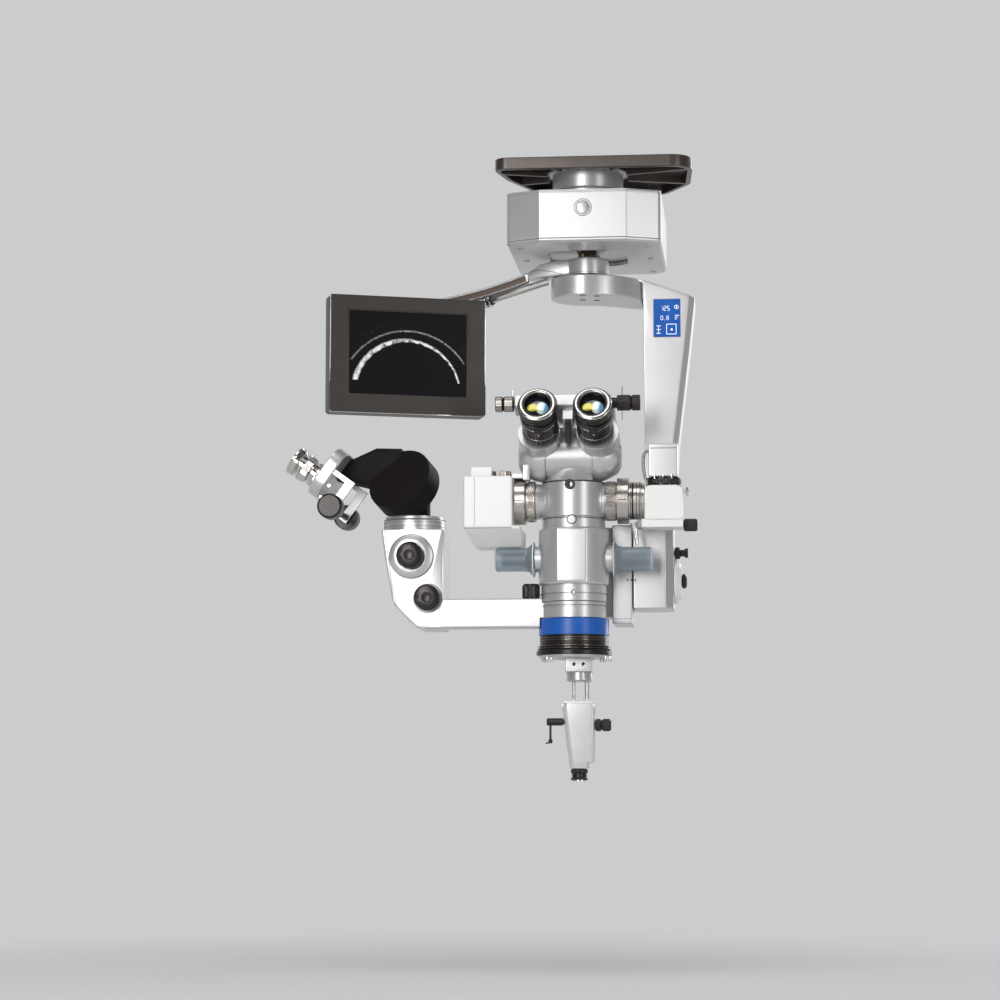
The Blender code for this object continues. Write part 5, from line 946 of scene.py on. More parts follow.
class CouplingOperator(bpy.types.Operator):
    """Cap, seams, posts, sockets and screws of the shift coupling and the beam"""

    bl_idname = "microscope.coupling"
    bl_label = "Coupling and beam"

    def execute(self, context):
        Form().turn([(-0.3, 9.4), (0.35, 9.4), (0.5, 9.2), (0.5, 7.6), (0.2, 7.5), (0.2, 7.0),
                     (0.65, 6.9), (0.75, 6.5), (0.85, 0.0)], COUPLING_CAP, FRONT,
                    64).piece("coupling_cap", "xy_unit", shared("silver"))
        gaps = Form()
        for radius in (9.9, 7.45):
            gaps.ring(COUPLING_CAP, FRONT, radius, radius - 0.5, -0.2, 0.28, 0.05, 64)
        gaps.piece("cap_grooves", "xy_unit", shared("seam"))
        under = Form()
        for x in (-72.0, 72.0):
            for y in (-62.0, 10.0, 88.0):
                under.turn(socket_head(3.2, 0.9), (x, y, -107.5), DOWN, 24)
        for x, z in ((-70.0, -60.0), (70.0, -60.0), (-70.0, -96.0), (70.0, -96.0)):
            under.turn(socket_head(2.8, 0.9), (x, 105.0, z), BACK, 24)
        under.piece("coupling_screws", "xy_unit", shared("screw_steel"))
        back = Form()
        for k in range(9):
            back.plate(3.0, 22.0, 0.35, (-24.0 + 6.0 * k, 104.95, -76.0), BACK, LEFT, 1.5, 0.1)
        back.piece("coupling_vents", "xy_unit", shared("seam"))
        posts = Form()
        for x in (-5.2, 11.2):
            posts.turn([(0.0, 1.1), (5.6, 1.1), (6.2, 0.6)], (x, -13.5, -110.4), UP, 20)
            posts.turn(button(2.0, 1.4), (x, -13.5, -110.3), UP, 20)
        posts.piece("shaft_posts", "y_slide", shared("chrome"))
        neck = Form()
        for z in (-21.0, -26.5):
            neck.ring((0, 0, z), UP, 36.3, 35.0, -0.25, 0.25, 0.05, 96)
        neck.piece("neck_lines", "stand", shared("soft_line"))
        hub = Form()
        for z, radius in ((-113.0, 24.15), (-127.5, 24.15)):
            hub.ring((0, 0, z), UP, radius, 23.2, -0.2, 0.2, 0.05, 96)
        hub.piece("hub_lines", "monitor_arm", shared("soft_line"))
        sockets, heads = Form(), Form()
        for x, y in ((-4.3, -30.8), (11.4, -25.0), (-6.2, -1.6), (9.7, 2.5)):
            sockets.turn(button(3.5, 0.25, 0.05), (x, y, -157.0), DOWN, 32)
            heads.turn(socket_head(2.3, 0.55), (x, y, -157.0), DOWN, 24)
        sockets.piece("beam_counterbores", "scope_arm", shared("seam"))
        heads.piece("beam_screws", "scope_arm", shared("screw_steel"))
        return {"FINISHED"}


class MonitorArmOperator(bpy.types.Operator):
    """Dark channel in the monitor's blade, joint rings of its tube and the elbow's seam"""

    bl_idname = "microscope.monitor_arm"
    bl_label = "Monitor arm"

    def execute(self, context):
        t = np.linspace(0.02, 0.93, 24)[:, None]
        start, end = np.array([-70.3, 12.0, -122.5]), np.array([-206.0, 40.0, -150.0])
        top = start + (end - start) * t + np.array([0.0, 0.0, -18.0]) * t * (1.0 - t)
        cover = Form()
        for side in (-1.0, 1.0):
            cover.bar(top + np.array([0.0, side * 8.05, -5.8]), 1.0, section=rounded(0.5, 7.2, 0.2),
                      up=UP)
        cover.piece("blade_channel", "monitor_arm", shared("brown_channel"))
        tangent = unit((-11.0, 7.0, -3.0))
        joint = np.array([-117.5, 19.2, -153.2])
        ring, gap = Form(), Form()
        for low in (-4.6, 0.9):
            ring.turn([(low, 4.0), (low, 6.4), (low + 0.5, 6.9), (low + 3.4, 6.9), (low + 3.9, 6.4),
                       (low + 3.9, 4.0)],
                      joint, tangent, 40, True)
        ring.piece("tube_joint", "monitor_arm", shared("chrome"))
        gap.turn([(-0.9, 4.0), (-0.9, 5.6), (1.1, 5.6), (1.1, 4.0)], joint, tangent, 32, True)
        gap.turn([(-6.2, 4.0), (-6.2, 5.2), (-4.5, 5.2), (-4.5, 4.0)], joint, tangent, 32, True)
        gap.piece("tube_joint_gaps", "monitor_arm", shared("seam"))
        seam = Form()
        path = eased([(-30.0, -9.9, -127.0), (-45.0, -7.2, -123.5), (-58.0, -3.4, -121.0),
                      (-68.0, 2.2, -122.4)], 24)
        seam.bar(path, 0.28, 8, up=UP)
        seam.piece("elbow_seam", "monitor_arm", shared("soft_line"))
        return {"FINISHED"}


class MonitorOperator(bpy.types.Operator):
    """Frame, trims, vents, screws and sockets of the monitor, and the scan on its screen"""

    bl_idname = "microscope.monitor"
    bl_label = "Monitor"

    def execute(self, context):
        side, _, out = monitor_axes()
        frame_lines = Form()
        for x, y, w, h in ((0, 51.2, 142.6, 0.9), (0, -47.2, 142.6, 0.9), (-70.8, 2, 0.9, 99.0),
                           (70.8, 2, 0.9, 99.0)):
            frame_lines.plate(w, h, 0.5, on_monitor(x, y, -0.15), out, side, 0.4, 0.2)
        frame_lines.piece("screen_frame", "monitor_tilt",
                          moulded("frame_black", "black_screen", (0.03, 0.028, 0.027), 0.3))
        trims = Form()
        trims.plate(182.0, 1.7, 0.9, on_monitor(0, -67.3, -0.1), out, side, 0.8, 0.25)
        trims.plate(1.0, 132.0, 0.45, on_monitor(-91.0, 0, -0.3), out, side, 0.45, 0.2)
        trims.plate(1.0, 132.0, 0.45, on_monitor(91.0, 0, -0.3), out, side, 0.45, 0.2)
        trims.piece("bezel_trims", "monitor_tilt", shared("chrome"))
        vents, screws, ports = Form(), Form(), Form()
        behind = tuple(-out)
        for row in (-34.0, 34.0):
            for k in range(14):
                vents.plate(2.4, 18.0, 0.4, on_monitor(-52.0 + 8.0 * k, row, -35.95), behind, side, 1.2,
                            0.1)
        for x in (-84.0, 84.0):
            for y in (-58.0, 58.0):
                screws.turn(socket_head(2.6, 0.8), on_monitor(x, y, -24.0), behind, 24)
        for k, wide in enumerate((15.0, 15.0, 9.0)):
            ports.plate(wide, 6.0, 0.7, on_monitor(44.0 - 22.0 * k, -50.0, -35.9), behind, side, 1.0, 0.2)
        vents.piece("monitor_vents", "monitor_tilt", shared("seam"))
        screws.piece("monitor_screws", "monitor_tilt", shared("screw_steel"))
        ports.piece("monitor_ports", "monitor_tilt", shared("knurl_black"))
        paint(self.scan(), "monitor_screen")
        return {"FINISHED"}

    def scan(self):
        """Black glass that shows a cross-section scan.

        Each arc is bright where |sqrt(x^2 + (y - c)^2) - R| is less than its width, broken by noise.
        """
        finish = Finish("scan_screen", "black_screen", (0.006, 0.006, 0.007), 0.16,
                        specular_ior_level=0.2)
        side, _, out = monitor_axes()
        x, y = finish.parts(finish.centred(MONITOR, turn_of(tuple(out), tuple(side))))[:2]
        grain = finish.noise(900.0, 2.0, 0.7)
        patch = finish.noise(140.0, 3.0, 0.6)
        outer = abs((x * x + (y + 51.0) ** 2.0).root() - 79.5)
        inner = abs(((x + 1.0) ** 2.0 + (y + 45.5) ** 2.0).root() - 63.0 + (patch - 0.5) * 4.0)
        wide = 2.7 - x * 0.022
        thin = (1.0 - outer.within(0.4, 1.5)) * (grain.within(0.38, 0.66)) * 0.55
        thick = (1.0 - (inner / wide).within(0.3, 1.0)) * (grain * 0.9 + patch * 1.0).within(0.72, 1.02)
        band = (1.0 - abs(outer - 7.0).within(3.0, 9.0)) * grain.within(0.62, 0.78) * 0.12 * (y > -4.0)
        light = (thick * (y > -30.0) + thin * (y > -7.0) + band).least(1.0)
        floor = finish.noise(30.0, 2.0) * 0.004 + 0.004
        finish.set("Emission Color", finish.mix(light, (0.004, 0.004, 0.0045), (0.92, 0.94, 0.95)))
        finish.set("Emission Strength", 0.95)
        finish.set("Roughness", floor * 10.0 + 0.08)
        return finish


class DisplayOperator(bpy.types.Operator):
    """Numbers, marks and frame of the display on the upright"""

    bl_idname = "microscope.display"
    bl_label = "Display"

    def execute(self, context):
        left, top, face = 75.3, -156.6, 3.95

        def at(x, z):
            return (left + x, face, top - z)

        marks = Form()
        digits(marks, "125", at(9.3, 10.6), 5.2, FRONT, RIGHT, UP)
        digits(marks, "0.8", at(9.3, 21.8), 4.6, FRONT, RIGHT, UP)
        marks.ring(at(26.2, 9.2), FRONT, 2.5, 1.9, -0.1, 0.25, 0.05, 32)
        marks.plate(0.7, 3.4, 0.25, at(26.2, 9.2), FRONT, RIGHT, 0.1, 0.05)
        for k, wide in enumerate((5.0, 3.6, 2.2)):
            marks.plate(wide, 0.7, 0.25, at(24.2 + wide / 2, 19.0 + 2.2 * k), FRONT, RIGHT, 0.1, 0.05)
        for k in range(3):
            marks.plate(5.2, 0.6, 0.25, at(5.4, 31.0 + 4.4 * k), FRONT, RIGHT, 0.1, 0.05)
        marks.plate(0.7, 9.4, 0.25, at(5.4, 35.4), FRONT, RIGHT, 0.1, 0.05)
        for x, z, w, h in ((20.2, 29.2, 11.0, 0.7), (20.2, 40.8, 11.0, 0.7), (14.7, 35.0, 0.7, 11.8),
                           (25.7, 35.0, 0.7, 11.8)):
            marks.plate(w, h, 0.25, at(x, z), FRONT, RIGHT, 0.1, 0.05)
        marks.turn(button(1.3, 0.25, 0.05), at(20.6, 35.4), FRONT, 24)
        marks.piece("display_marks", "scope_arm", shared("readout"))
        rim = Form()
        for x, z, w, h in ((15.2, -0.25, 31.2, 0.6), (15.2, 44.15, 31.2, 0.6), (-0.25, 21.9, 0.6, 44.6),
                           (30.65, 21.9, 0.6, 44.6)):
            rim.plate(w, h, 0.3, (left + x, 4.2, top - z), FRONT, RIGHT, 0.2, 0.1)
        rim.piece("display_frame", "scope_arm", shared("soft_line"))
        glass = Finish("display_glass", "blue_ring", (0.02, 0.15, 0.55), 0.18)
        x, _, z = glass.parts(glass.centred(ARM_DISPLAY))
        glow = glass.noise(70.0, 2.0)
        dots = ((x * 6.0).wave() * (z * 6.0).wave()).within(-0.2, 0.9)
        glass.set("Base Color", glass.mix(glow * 0.6 + dots * 0.2, (0.008, 0.075, 0.36),
                                          (0.02, 0.14, 0.52)))
        glass.set("Emission Color", (0.02, 0.16, 0.60))
        glass.set("Emission Strength", 0.14)
        paint(glass, "arm_display")
        return {"FINISHED"}


class KnurlOperator(bpy.types.Operator):
    """Cut sleeves on every knob"""

    bl_idname = "microscope.knurls"
    bl_label = "Knurled sleeves"

    def execute(self, context):
        count, depth = chosen().knurl_teeth, chosen().knurl_depth
        side_bar = (-285.5, 0.0, -403.5)
        black, steel = shared("knurl_black"), shared("knurl_steel")
        # name, body, finish, centre, axis, radius, teeth share, twist, bands
        rows = (
            ("focus_knurl", "assistant_knob_axis", black, FOCUS_KNOB, FRONT, 14.95, 1.5, 0.5,
             ((2.0, 13.2),)),
            ("lower_knurl", "lower_knob_axis", black, LOWER_KNOB, FRONT, 14.75, 1.5, 0.5, ((0.9, 10.4),)),
            ("clamp_knurl", "arm_knob_axis", black, CLAMP_KNOB, UP, 9.95, 1.1, 0.0, ((1.8, 14.8),)),
            ("tilt_knurl", "tilt_knob_axis", black, TILT_KNOB, RIGHT, 8.3, 0.9, 0.0, ((9.6, 12.2),)),
            ("lock_knurl", "tilt_lock_axis", black, LOCK_KNOB, RIGHT, 6.8, 0.8, 0.0, ((1.2, 6.2),)),
            ("adapter_knurl", "adapter_knob_axis", black, ADAPTER_KNOB, RIGHT, 7.1, 0.9, 0.0,
             ((1.6, 14.2),)),
            ("viewer_knurl", "viewer_knob_axis", black, VIEWER_KNOB, RIGHT, 6.9, 0.9, 0.0,
             ((1.8, 6.3), (9.3, 16.6))),
            ("viewer_lens_knurl", "viewer_slide", black, VIEWER_LENS, UP, 9.5, 1.2, 0.0,
             ((1.2, 2.9), (8.9, 12.2))),
            ("pd_knurl_left", "pd_turn", steel, SPINDLE, RIGHT, 8.9, 0.55, 0.0,
             ((-99.6, -92.6), (-89.8, -80.6))),
            ("pd_knurl_right", "pd_turn", black, SPINDLE, RIGHT, 8.9, 0.8, 0.0,
             ((37.2, 51.2), (54.2, 62.2))),
            ("side_knurl", "side_pd_turn", black, side_bar, FRONT, 14.3, 1.5, 0.5,
             ((-46.0, -24.0), (76.0, 96.0))),
            ("scan_dial_knurl", "scan_dial_axis", steel, SCAN_DIAL, UP, 10.45, 1.0, 0.0, ((1.6, 9.2),)),
            ("left_port_knurl", "left_port_axis", steel, (-56.8, -45.0, PORT_Z), LEFT, 23.1, 2.6, 0.0,
             ((1.8, 8.6),)),
            ("right_port_knurl", "right_port_axis", steel, (21.8, -45.0, PORT_Z), RIGHT, 22.25, 2.4, 0.0,
             ((1.2, 11.0),)),
            ("camera_ring_knurl", "camera_focus_axis", black, CAMERA_RING, UP, 19.85, 1.1, 0.0,
             ((1.8, 7.0),)),
        )
        for name, body, finish, centre, axis, radius, share, twist, bands in rows:
            form = Form()
            for low, high in bands:
                form.knurl(centre, axis, radius, low, high, int(count * share),
                           depth * min(1.0, 0.5 + radius / 40.0), twist=twist)
            form.piece(name, body, finish)
        return {"FINISHED"}


class EyepieceOperator(bpy.types.Operator):
    """Rims, bands, marks and lens glass with painted reflections of the surgeon's eyepieces, and the
    spindle's pins
    """

    bl_idname = "microscope.eyepieces"
    bl_label = "Eyepieces"

    def execute(self, context):
        below = (0.0, -math.sin(BINO_TILT), -math.cos(BINO_TILT))
        rim_metal = scratched("rim_metal", (0.62, 0.60, 0.57), 0.22, 1.0, "bright_steel")
        for word, start in EYES.items():
            cup, slide = f"{word}_eyecup_turn", f"{word}_eye_slide"
            Form().turn([(54.0, 15.2), (55.6, 15.3), (56.9, 16.2), (57.5, 17.8), (57.4, 19.4),
                         (56.6, 20.7), (55.2, 21.3), (53.6, 20.6)], start, EYE_AXIS, 72,
                        True).piece(f"cup_rim_{word}", cup, rim_metal)
            dark = Form()
            dark.turn([(52.8, 14.6), (56.2, 14.7), (56.2, 15.5), (52.8, 15.5)], start, EYE_AXIS, 64, True)
            dark.ring(start, EYE_AXIS, 22.05, 21.0, 53.0, 55.0, 0.4, 72)
            dark.piece(f"cup_edge_{word}", cup, shared("knurl_black"))
            bands = Form()
            bands.knurl(start, EYE_AXIS, 21.0, 4.6, 11.4, 26, 0.9)
            bands.knurl(start, EYE_AXIS, 21.0, 33.6, 37.9, 60, 0.45)
            bands.piece(f"barrel_bands_{word}", slide, shared("knurl_black"))
            lines = Form()
            for low in (13.0, 31.2):
                lines.ring(start, EYE_AXIS, 20.75, 19.6, low, low + 0.5, 0.1, 72)
            at = along(start, EYE_AXIS, 24.6, (below, 20.3))
            lines.turn(button(1.1, 0.8, 0.2), at, below, 20)
            lines.piece(f"barrel_lines_{word}", slide, shared("chrome"))
            tab = Form().plate(10.0, 6.0, 1.6, along(start, EYE_AXIS, 30.2, (below, 19.6)), below, RIGHT,
                               2.4, 0.5)
            tab.piece(f"barrel_tab_{word}", slide, shared("knurl_black"))
            paint(self.painted_reflection_glass(word, start), f"eye_lens_{word}")
        pins = Form()
        for x, radius, low, high in ((-80.9, 0.9, 0.0, 17.0), (42.4, 0.55, -19.0, 18.0)):
            pins.turn([(low, radius), (high - 0.5, radius), (high, radius * 0.5)], (x, *SPINDLE[1:]), UP,
                      16)
        pins.piece("spindle_pins", "pd_turn", shared("chrome"))
        # Painted shade: a dark bar over the block between the barrels, standing in for the shade in the
        # slot there.
        slot_shade = Form().bar([(-18.3, -81.6, -309.5), (-18.3, -78.6, -320.0), (-18.3, -74.6, -333.0)], 1.0,
                           section=rounded(10.2, 6.0, 1.0), up=RIGHT)
        slot_shade.piece("slot_painted_shade", "binocular_tilt", shared("seam"))
        rod = Form().bar([(-18.3, -85.4, -309.0), (-18.3, -82.0, -320.5), (-18.3, -77.8, -333.4)], 0.85,
                         16, up=RIGHT)
        rod.piece("slot_rod", "binocular_tilt", shared("chrome"))
        return {"FINISHED"}

    def painted_reflection_glass(self, word, start):
        """Coated glass with a painted reflection: yellow-green on the left, white to blue on the right,
        black above.
        """
        finish = Finish(f"eye_glass_painted_reflection_{word}", "coated_glass", (0.05, 0.07, 0.09), 0.05, 0.15,
                        coat_weight=0.8, coat_roughness=0.03)
        x, y = finish.parts(finish.centred(start, turn_of(EYE_AXIS, RIGHT)))[:2]
        # Painted reflection: the coloured sheen, its white and blue patches and the dark part above are set
        # into the glass's colour by place on the lens.
        reflection_swirl = (finish.noise(130.0, 2.0) - 0.5) * 5.0
        across = finish.mix((x + reflection_swirl).within(-1.5, 2.5), (0.62, 0.55, 0.05), (0.80, 0.90, 0.88))
        colour = finish.mix((x + reflection_swirl * 0.5).within(3.0, 9.5), across, (0.16, 0.42, 0.66))
        left = 1.0 - (((x + 5.6) / 6.4) ** 2.0 + ((y + 0.6) / 5.0) ** 2.0).within(0.6, 1.25)
        right = 1.0 - (((x - 5.0) / 7.2) ** 2.0 + ((y + 1.6) / 8.0) ** 2.0).within(0.6, 1.2)
        finish.set("Base Color", finish.mix(left.most(right), (0.010, 0.012, 0.016), colour))
        return finish


class HeadOperator(bpy.types.Operator):
    """Screws, buttons, seams and slits of the column"""

    bl_idname = "microscope.head"
    bl_label = "Column fittings"

    def execute(self, context):
        axis = (*COLUMN, 0.0)
        screws = Form().turn([(-1.0, 5.9), (1.2, 5.9), (1.6, 5.5), (1.6, 3.1), (0.2, 2.9), (0.1, 0.0)],
                             SPLITTER_SCREW, FRONT, 40)
        screws.piece("splitter_screw", "scope", shared("knurl_black"))
        ring = Form().ring(SPLITTER_BUTTON, FRONT, 5.6, 4.7, -1.0, 0.9, 0.15, 40)
        for low, radius in ((-417.7, 35.95), (-376.2, 35.95)):
            ring.ring(axis, UP, radius, 34.8, low, low + 0.8, 0.1, 96)
        ring.piece("splitter_seams", "scope", shared("seam"))
        Form().turn([(-0.8, 4.6), (1.2, 4.6), (1.7, 4.1), (1.8, 0.0)], SPLITTER_BUTTON, FRONT,
                    40).piece("splitter_button", "scope", shared("ivory_button"))
        slits = Form()
        slits.plate(11.0, 0.7, 0.3, (-74.8, -71.0, -397.0), FRONT, RIGHT, 0.2, 0.1)
        slits.piece("left_clamp_slit", "left_port_axis", shared("seam"))
        slits = Form()
        slits.plate(12.2, 0.7, 0.3, (41.5, -71.2, -397.0), FRONT, RIGHT, 0.2, 0.1)
        for x in (50.4, 53.2, 57.0, 60.4):
            slits.ring((x, -45.0, PORT_Z), RIGHT, 21.4, 20.2, -0.35, 0.35, 0.05, 64)
        slits.piece("right_clamp_slit", "right_port_axis", shared("seam"))
        dots = Form()
        for k in range(3):
            dots.turn(button(1.15, 0.3, 0.1), (44.5 + 4.2 * k, -15.0, -482.8), FRONT, 20)
        dots.piece("index_dots", "carriage", shared("seam"))
        column = Form()
        for z in (-502.0, -515.5):
            column.ring(axis, UP, 38.1, 37.0, z, z + 0.5, 0.1, 96)
        column.piece("column_lines", "scope", shared("soft_line"))
        small = Form().turn(socket_head(2.9, 1.2), (-13.2, -82.2, -501.5), FRONT, 32)
        for x in (-16.3, -10.3):
            small.turn(button(0.9, 0.6, 0.1), (x, -82.0, -497.4), FRONT, 16)
        small.piece("column_screw", "scope", shared("chrome"))
        mount = Form()
        for z in (-551.5, -554.0, -560.5, -563.0):
            mount.ring(axis, UP, 39.3 if z > -556 else 41.6, 37.0, z, z + 0.35, 0.05, 96)
        mount.piece("objective_lines", "scope", shared("knurl_steel"))
        pins = Form()
        for x in (-43.0, -38.3, 22.3, 27.3):
            pins.turn([(-0.6, 1.5), (0.6, 1.7), (5.2, 1.7), (6.0, 1.2), (6.2, 0.0)], (x, -71.0, -572.6),
                      DOWN, 20)
        pins.piece("flange_pins", "viewer_turn", shared("chrome"))
        return {"FINISHED"}


class SideCameraOperator(bpy.types.Operator):
    """Small fittings of the scan camera, the adapter and the video camera"""

    bl_idname = "microscope.cameras"
    bl_label = "Cameras"

    def execute(self, context):
        lines = Form()
        lines.plate(0.35, 56.0, 0.25, (-123.4, -83.05, -399.0), FRONT, RIGHT, 0.1, 0.05)
        lines.plate(54.0, 0.5, 0.25, (-108.5, -82.6, -428.9), FRONT, RIGHT, 0.1, 0.05)
        lines.piece("scan_lines", "scope", shared("soft_line"))
        bracket = Form().plate(8.0, 18.0, 14.0, (-66.5, -52.0, -364.5), FRONT, RIGHT, 2.0, 0.6)
        bracket.plate(18.0, 6.0, 12.0, (-74.0, -50.0, -368.0), FRONT, RIGHT, 1.5, 0.5)
        bracket.piece("scan_bracket", "scope", shared("silver"))
        ports = Form()
        for k in range(5):
            ports.plate(2.2, 26.0, 0.4, (-120.0 + 6.5 * k, -8.05, -400.0), BACK, LEFT, 1.1, 0.1)
        ports.piece("scan_vents", "scope", shared("seam"))
        thumb = Form()
        thumb.turn([(-1.0, 1.3), (3.2, 1.3), (3.2, 3.0), (4.2, 5.4), (5.6, 5.9), (6.6, 5.2), (7.0, 0.0)],
                   (108.6, -45.0, -386.0), RIGHT, 32)
        thumb.piece("adapter_thumbscrew", "scope", shared("chrome"))
        lever = Form()
        lever.bar([(53.5, -47.0, -421.0), (54.6, -47.0, -428.0), (55.8, -47.0, -436.0),
                   (57.4, -47.0, -447.5)], [4.6, 3.7, 2.9, 1.9], 24, up=(0, 1, 0))
        lever.piece("adapter_lever", "scope", shared("chrome"))
        camera = Form()
        camera.plate(30.0, 0.8, 0.3, (87.4, -61.6, -338.2), FRONT, RIGHT, 0.3, 0.1)
        camera.piece("camera_line", "scope", shared("soft_line"))
        camera = Form()
        for x in (78.0, 87.4, 96.8):
            camera.plate(1.6, 5.6, 0.35, (x, -61.8, -370.4), FRONT, RIGHT, 0.7, 0.1)
        camera.piece("camera_slots", "scope", shared("chrome"))
        s = np.linspace(0.0, 1.0, 150)
        path = eased([(70.9, -57.0, -341.0), (67.2, -57.0, -342.5), (65.1, -57.0, -348.0),
                      (64.9, -57.0, -358.0), (66.3, -57.0, -368.0), (68.6, -57.0, -376.0),
                      (69.3, -57.0, -381.0)], 150)
        cable = Form().bar(path, 1.75 + 0.4 * np.sin(s * 2.0 * np.pi * 19.0), 20, up=(0, 1, 0))
        made = cable.piece("armoured_cable", "scope",
                           scratched("armour", (0.50, 0.48, 0.46), 0.28, 0.9, "grey_cord"), 60.0)
        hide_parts("camera_cable")
        return {"FINISHED"}


class CapOperator(bpy.types.Operator):
    """Rims at both ends of the silicone caps"""

    bl_idname = "microscope.caps"
    bl_label = "Silicone caps"

    def execute(self, context):
        for word, x, way in (("left", -58.1, LEFT), ("right", 29.1, RIGHT)):
            place, body = (x, -45.0, -461.5), f"{word}_grip_turn"
            ribs = Form()
            for reach, radius in ((1.0, 20.0), (43.6, 12.4)):
                ribs.turn([(reach, radius - 1.4), (reach, radius - 0.3), (reach + 0.5, radius),
                           (reach + 1.2, radius - 0.3), (reach + 1.2, radius - 1.4)],
                          place, way, 64, True)
            ribs.piece(f"{word}_cap_rims", body, shared("white"))
        return {"FINISHED"}


class ViewerOperator(bpy.types.Operator):
    """Sockets, clamp rim, rods' ferrules, crank and pins of the viewer"""

    bl_idname = "microscope.viewer"
    bl_label = "Viewer"

    def execute(self, context):
        holes = Form()
        for x in (-13.8, -3.4):
            holes.turn(button(1.7, 0.25, 0.05), (x, -60.0, -580.0), FRONT, 24)
        holes.piece("viewer_sockets", "viewer_turn", shared("seam"))
        line = Form().plate(29.6, 0.5, 0.3, (-8.6, -60.05, -589.2), FRONT, RIGHT, 0.1, 0.05)
        line.piece("viewer_collar_line", "viewer_turn", shared("soft_line"))
        rim = Form()
        rim.plate(38.0, 33.0, 2.6, (-9.0, -45.0, -624.0), UP, RIGHT, 4.5, 0.7)
        for x, radius in ((-14.9, 3.6), (0.0, 4.4)):
            rim.turn([(0.0, radius), (2.6, radius), (3.2, radius - 0.5)], (x, -45.0, -622.0), UP, 32)
        for x in (-26.5, 8.2):
            rim.turn(button(2.0, 1.2, 0.4), (x, -59.0, -626.0), FRONT, 20)
        rim.piece("viewer_clamp", "viewer_slide", shared("white"))
        ends = Form()
        ends.turn([(-0.4, 2.4), (0.6, 3.0), (2.0, 2.4)], (9.4, -53.0, -648.2), RIGHT, 24)
        ends.turn([(12.2, 2.4), (12.8, 2.2), (12.8, 0.0)], VIEWER_KNOB, RIGHT, 24)
        ends.piece("viewer_pins", "viewer_knob_axis", shared("chrome"))
        foot = Form().ring(VIEWER_LENS, UP, 9.4, 7.4, -0.2, 1.2, 0.4, 64)
        foot.piece("viewer_bright_rim", "viewer_slide", shared("chrome"))
        crank = Form().bar([(-40.8, -53.0, -663.2), (-43.0, -53.0, -668.0), (-46.2, -53.0, -668.4)], 0.9,
                           12, up=(0, 1, 0))
        crank.piece("viewer_crank_foot", "viewer_lever_axis", shared("knurl_black"))
        return {"FINISHED"}


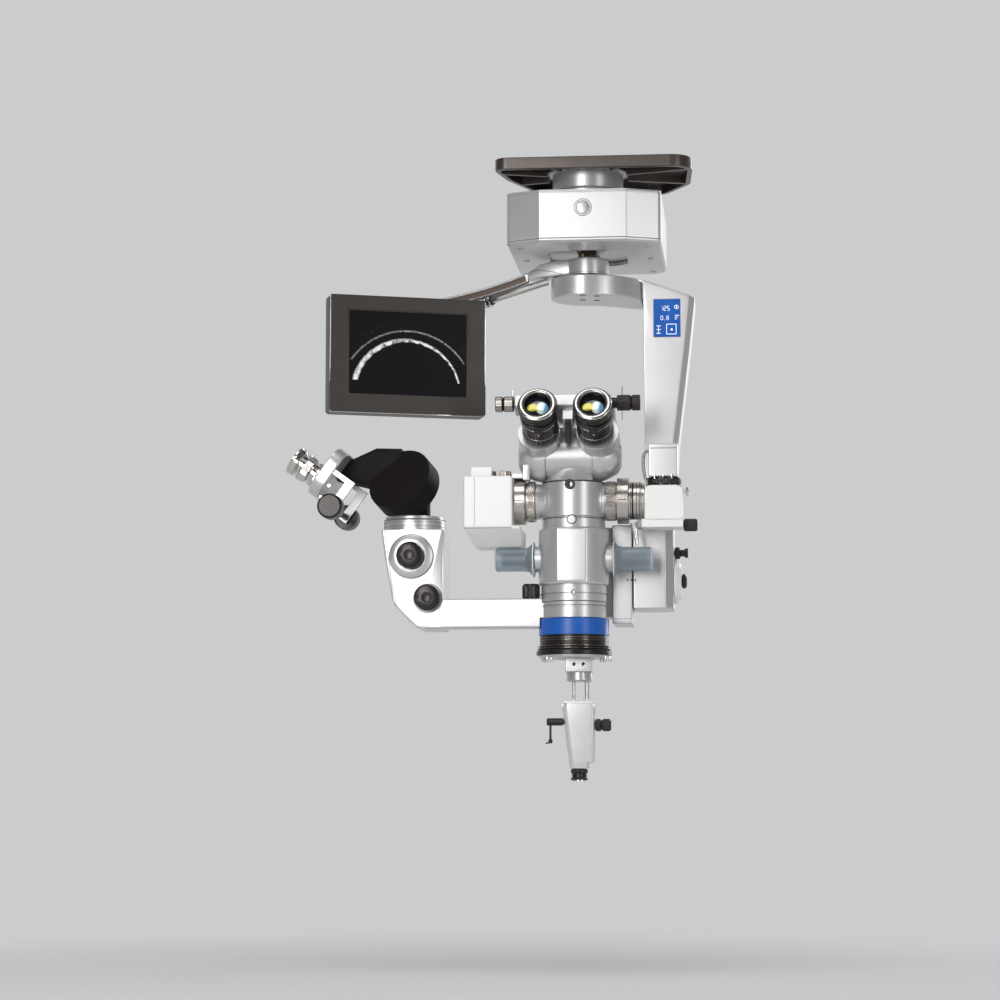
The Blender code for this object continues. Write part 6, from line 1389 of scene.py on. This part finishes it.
class AssistantOperator(bpy.types.Operator):
    """Rings, ticks, screws and cups of the assistant's scope"""

    bl_idname = "microscope.assistant"
    bl_label = "Assistant's scope"

    def execute(self, context):
        head = (-198.0, -25.0, 0.0)
        edge = eased([(-228.3, -60.6, -428.8), (-225.5, -60.6, -448.3), (-222.0, -60.6, -471.0),
                      (-219.0, -60.6, -490.3), (-214.6, -60.6, -510.2), (-209.4, -60.6, -517.9),
                      (-200.3, -60.6, -527.0), (-190.3, -60.6, -536.0), (-182.6, -60.6, -539.6)], 48)
        strip = Form().bar(edge, 0.55, 12, up=FRONT)
        strip.piece("arm_edge", "assistant_swing", shared("white"))
        seams = Form().ring(SCOPE_DIAL, FRONT, 25.5, 24.9, -0.3, 0.35, 0.05, 96)
        seams.ring(SCOPE_DIAL, FRONT, 16.2, 15.5, -5.0, 0.1, 0.05, 64)
        seams.ring(LOWER_KNOB, FRONT, 16.6, 15.4, -0.2, 0.2, 0.05, 64)
        for low in (-414.6, -418.4, -423.0):
            seams.ring(head, UP, 35.2, 34.2, low, low + 0.4, 0.05, 96)
        seams.piece("assistant_seams", "assistant_swing", shared("soft_line"))
        ticks = Form()
        angles = np.radians(np.arange(-150.0, 151.0, 15.0))
        for k, angle in enumerate(angles):
            long = 2.6 if k % 5 == 0 else 1.5
            way = (math.sin(angle), 0.0, math.cos(angle))
            ticks.plate(0.45, long, 0.3, along(SCOPE_DIAL, way, 23.4 - long / 2, (FRONT, -0.1)), FRONT,
                        (math.cos(angle), 0.0, -math.sin(angle)), 0.1, 0.05)
        ticks.piece("dial_ticks", "assistant_swing", shared("seam"))
        for place, radius, body in (((-197.5, -82.3, -457.8), 6.2, "assistant_knob_axis"),
                                    ((-178.5, -73.9, -505.3), 6.0, "lower_knob_axis")):
            tip = Form().turn([(-0.4, radius), (0.3, radius), (0.6, radius - 0.5), (0.3, radius - 1.2),
                               (0.2, 0.0)], place, FRONT, 40)
            tip.piece(body.replace("_axis", "_tip"), body, shared("knurl_black"))
        cups = scratched("cup_steel", (0.66, 0.64, 0.62), 0.16, 1.0, "bright_steel")
        for word, y in (("near", -55.6), ("far", 5.6)):
            foot, body = (-303.84, y, -366.38), f"side_slide_{word}"
            form = Form().knurl(foot, SIDE_AXIS, 14.9, 11.4, 19.4, 40, 0.5)
            form.knurl(foot, SIDE_AXIS, 13.8, 0.6, 3.6, 40, 0.4)
            form.turn([(31.5, 16.6), (33.0, 17.4), (34.6, 17.2), (35.2, 16.2), (34.6, 14.0),
                       (33.0, 12.0), (31.5, 12.0)], foot, SIDE_AXIS, 64, True)
            form.piece(f"side_cup_{word}", body, cups)
            glass = Form().turn([(28.0, 9.6), (31.0, 9.6), (32.0, 7.0), (32.4, 0.0)], foot, SIDE_AXIS, 40)
            glass.piece(f"side_lens_{word}", body, self.glass(word))
        screws = Form()
        for y in (-75.0, 25.0):
            for h in (-10.0, 6.0):
                screws.turn(socket_head(2.0, 0.8), (-293.0 + h * 0.588, y, -383.0 + h * 0.809),
                            FRONT if y < -25 else BACK, 20)
        screws.piece("strap_screws", "head_turn", shared("chrome"))
        return {"FINISHED"}

    def glass(self, word):
        """Dark coated glass with a violet bloom."""
        finish = Finish(f"side_glass_{word}", "coated_glass", (0.03, 0.03, 0.05), 0.04, 0.0,
                        coat_weight=1.0)
        bloom = finish.noise(110.0, 2.0)
        finish.set("Base Color", finish.mix(bloom, (0.015, 0.02, 0.035), (0.07, 0.05, 0.12)))
        return finish


OPERATORS = (
    StageOperator, CastingsOperator, CouplingOperator, MonitorArmOperator, MonitorOperator,
    DisplayOperator, KnurlOperator, EyepieceOperator, HeadOperator, SideCameraOperator,
    CapOperator, ViewerOperator, AssistantOperator,
)


class MicroscopePanel(bpy.types.Panel):
    """Buttons and values in the sidebar"""

    bl_idname = "VIEW3D_PT_microscope"
    bl_label = "Microscope"
    bl_space_type = "VIEW_3D"
    bl_region_type = "UI"
    bl_category = "Microscope"

    def draw(self, context):
        layout = self.layout
        for name in MicroscopeSettings.__annotations__:
            layout.prop(chosen(), name)
        for operator in OPERATORS:
            layout.operator(operator.bl_idname)


CLASSES = (MicroscopeSettings, *OPERATORS, MicroscopePanel)


def register():
    """Adds the classes and the scene's values."""
    for one in CLASSES:
        bpy.utils.register_class(one)
    bpy.types.Scene.microscope = PointerProperty(type=MicroscopeSettings)


def unregister():
    """Takes them out again."""
    del bpy.types.Scene.microscope
    for one in reversed(CLASSES):
        bpy.utils.unregister_class(one)


def main():
    """Registers the add-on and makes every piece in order."""
    register()
    for operator in OPERATORS:
        group, name = operator.bl_idname.split(".")
        getattr(getattr(bpy.ops, group), name)()


if __name__ == "__main__":
    main()
